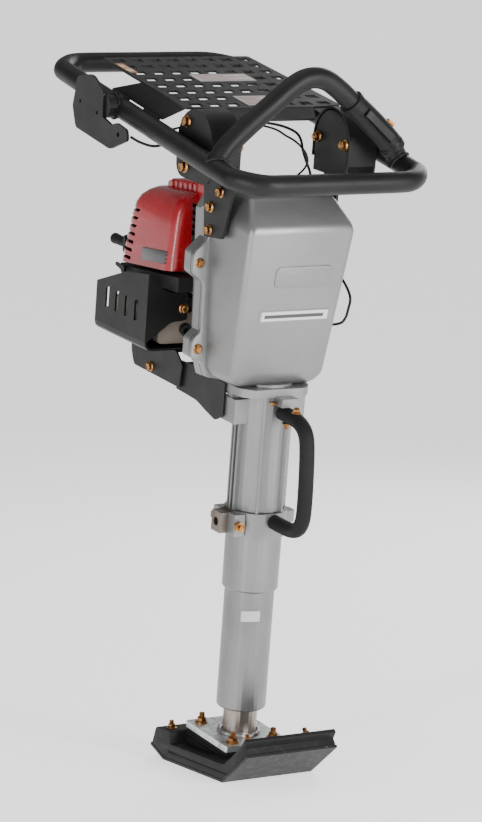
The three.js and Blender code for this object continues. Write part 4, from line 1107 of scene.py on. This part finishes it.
for name, sheet, look, slot in (
    ("large", rectangle((-33, 62), (137, 176), 2), LABEL_WHITE, "galvanised"),
    ("small", rectangle((-24, 32), (10, 60), 2), LABEL_WHITE, "galvanised"),
    ("edge", rectangle((-121, -108), (188, 240), 1), LABEL_ORANGE, "orange_plastic"),
):
    piece(f"deck_label_{name}", on_deck(sheet, 0.6), look, "handle", slot)

for name, side in SIDES:
    for stretch, (start, end) in (("front", (112, 160)), ("rear", (205, 256))):
        line = [on_loop(side * 141, y, 12.4) for y in range(start, end, 3)]
        weld(line, 2.4, f"web_weld_{stretch}_{name}", "handle", COAT, "black_coat")

# ---------- grip, trigger and switch

ARM_TURN = Matrix.Rotation(math.atan2(30, 35), 4, "Y")
ON_ARM = Matrix.Translation((101, BOW_Y, 969)) @ ARM_TURN
GRIP_RADIUS, GRIP_COLLAR, GRIP_BORE = 17.7, 18.6, 15.3
ARM_PATH = [(139.2, 931.3), (132, 941), (118.6, 954.4), (103, 968), (85, 982.6), (67, 997), (61.5, 1001.5)]


def placed(bm, matrix):
    bmesh.ops.transform(bm, matrix=matrix, verts=bm.verts)
    return bm


def grip():
    """A sleeve with a collar at each end, round the bow's right arm, cut open in front for the
    trigger and above for the switch."""
    path = catmull([(x, BOW_Y, z) for x, z in ARM_PATH], 0.5, 12)

    def girth(t):
        end = min(t, 1 - t)
        radius = GRIP_COLLAR if end < 0.16 else GRIP_RADIUS
        return radius - (1.8 * (1 - end / 0.02) if end < 0.02 else 0)

    sleeve = tube(path, girth, sides=48)
    inside = [(145, 922), *ARM_PATH[:-1], (41, 1018)]
    core = tube(catmull([(x, BOW_Y, z) for x, z in inside], 0.5, 10), GRIP_BORE, sides=40)
    slot = placed(brick((-31, 31), (-32, -12), (-6.5, 6.5)), ON_ARM)
    pocket = placed(brick((15, 28), (-4.6, 4.6), (10, 32)), ON_ARM)
    return cut(sleeve, core, slot, pocket)


piece("grip_sleeve", grip(), PLASTIC, "handle", "black_plastic", ["throttle_grip"], sharp=36)
dress("throttle_trigger", PLASTIC, 0.8, 3)
dress("stop_switch", ORANGE, 1.2, 3)

# ---------- floor and light

FLOOR_REACH = 150  # far enough for the floor to fill the view up to the horizon
FLOOR = Look("floor", (0.9, 0.9, 0.9), 0.7, Emission_Color=(1, 1, 1, 1), Emission_Strength=1.1)
FLOOR.bump(FLOOR.noise(40, 3), 0.02, 0.001)
floor_mesh = bpy.data.meshes.new("floor")
floor_bm = bmesh.new()
bmesh.ops.create_grid(floor_bm, x_segments=1, y_segments=1, size=FLOOR_REACH)
floor_bm.to_mesh(floor_mesh)
floor_bm.free()
floor_mesh.materials.append(FLOOR.material)
floor = bpy.data.objects.new("floor", floor_mesh)
bpy.context.scene.collection.objects.link(floor)

# The sky is as bright as the floor at the horizon and dims quickly above it.
SKY = {"From Min": 0.015, "From Max": 0.16, "To Min": 1.36, "To Max": 0.3}
world = bpy.data.worlds.new("studio")
world.use_nodes = True
sky = world.node_tree
toward = sky.nodes.new("ShaderNodeSeparateXYZ")
sky.links.new(sky.nodes.new("ShaderNodeTexCoord").outputs["Generated"], toward.inputs["Vector"])
fade = sky.nodes.new("ShaderNodeMapRange")
for socket, value in SKY.items():
    fade.inputs[socket].default_value = value
sky.links.new(toward.outputs["Z"], fade.inputs["Value"])
sky.links.new(fade.outputs["Result"], sky.nodes["Background"].inputs["Strength"])
sky.nodes["Background"].inputs["Color"].default_value = (1, 1, 1, 1)
bpy.context.scene.world = world


def softbox(name, at, target, size, power):
    """A rectangular light that faces a target. size is its width and height in metres."""
    data = bpy.data.lights.new(name, "AREA")
    data.shape = "RECTANGLE"
    data.size, data.size_y = size
    data.energy = power
    light = bpy.data.objects.new(name, data)
    look_along = Vector(target) - Vector(at)
    light.matrix_world = Matrix.Translation(at) @ look_along.to_track_quat("-Z", "Y").to_matrix().to_4x4()
    bpy.context.scene.collection.objects.link(light)


MIDDLE = (0, 0, 0.6)
softbox("key_front", (0.9, -3.0, 1.2), MIDDLE, (0.9, 1.6), 100)
softbox("left_strip", (-2.6, -1.6, 1.0), MIDDLE, (0.3, 2.0), 45)
softbox("right_rear", (2.2, 1.6, 1.8), MIDDLE, (1.2, 1.6), 35)
softbox("top", (-0.2, 0.2, 3.0), MIDDLE, (2.2, 2.2), 16)

bpy.context.view_layer.update()
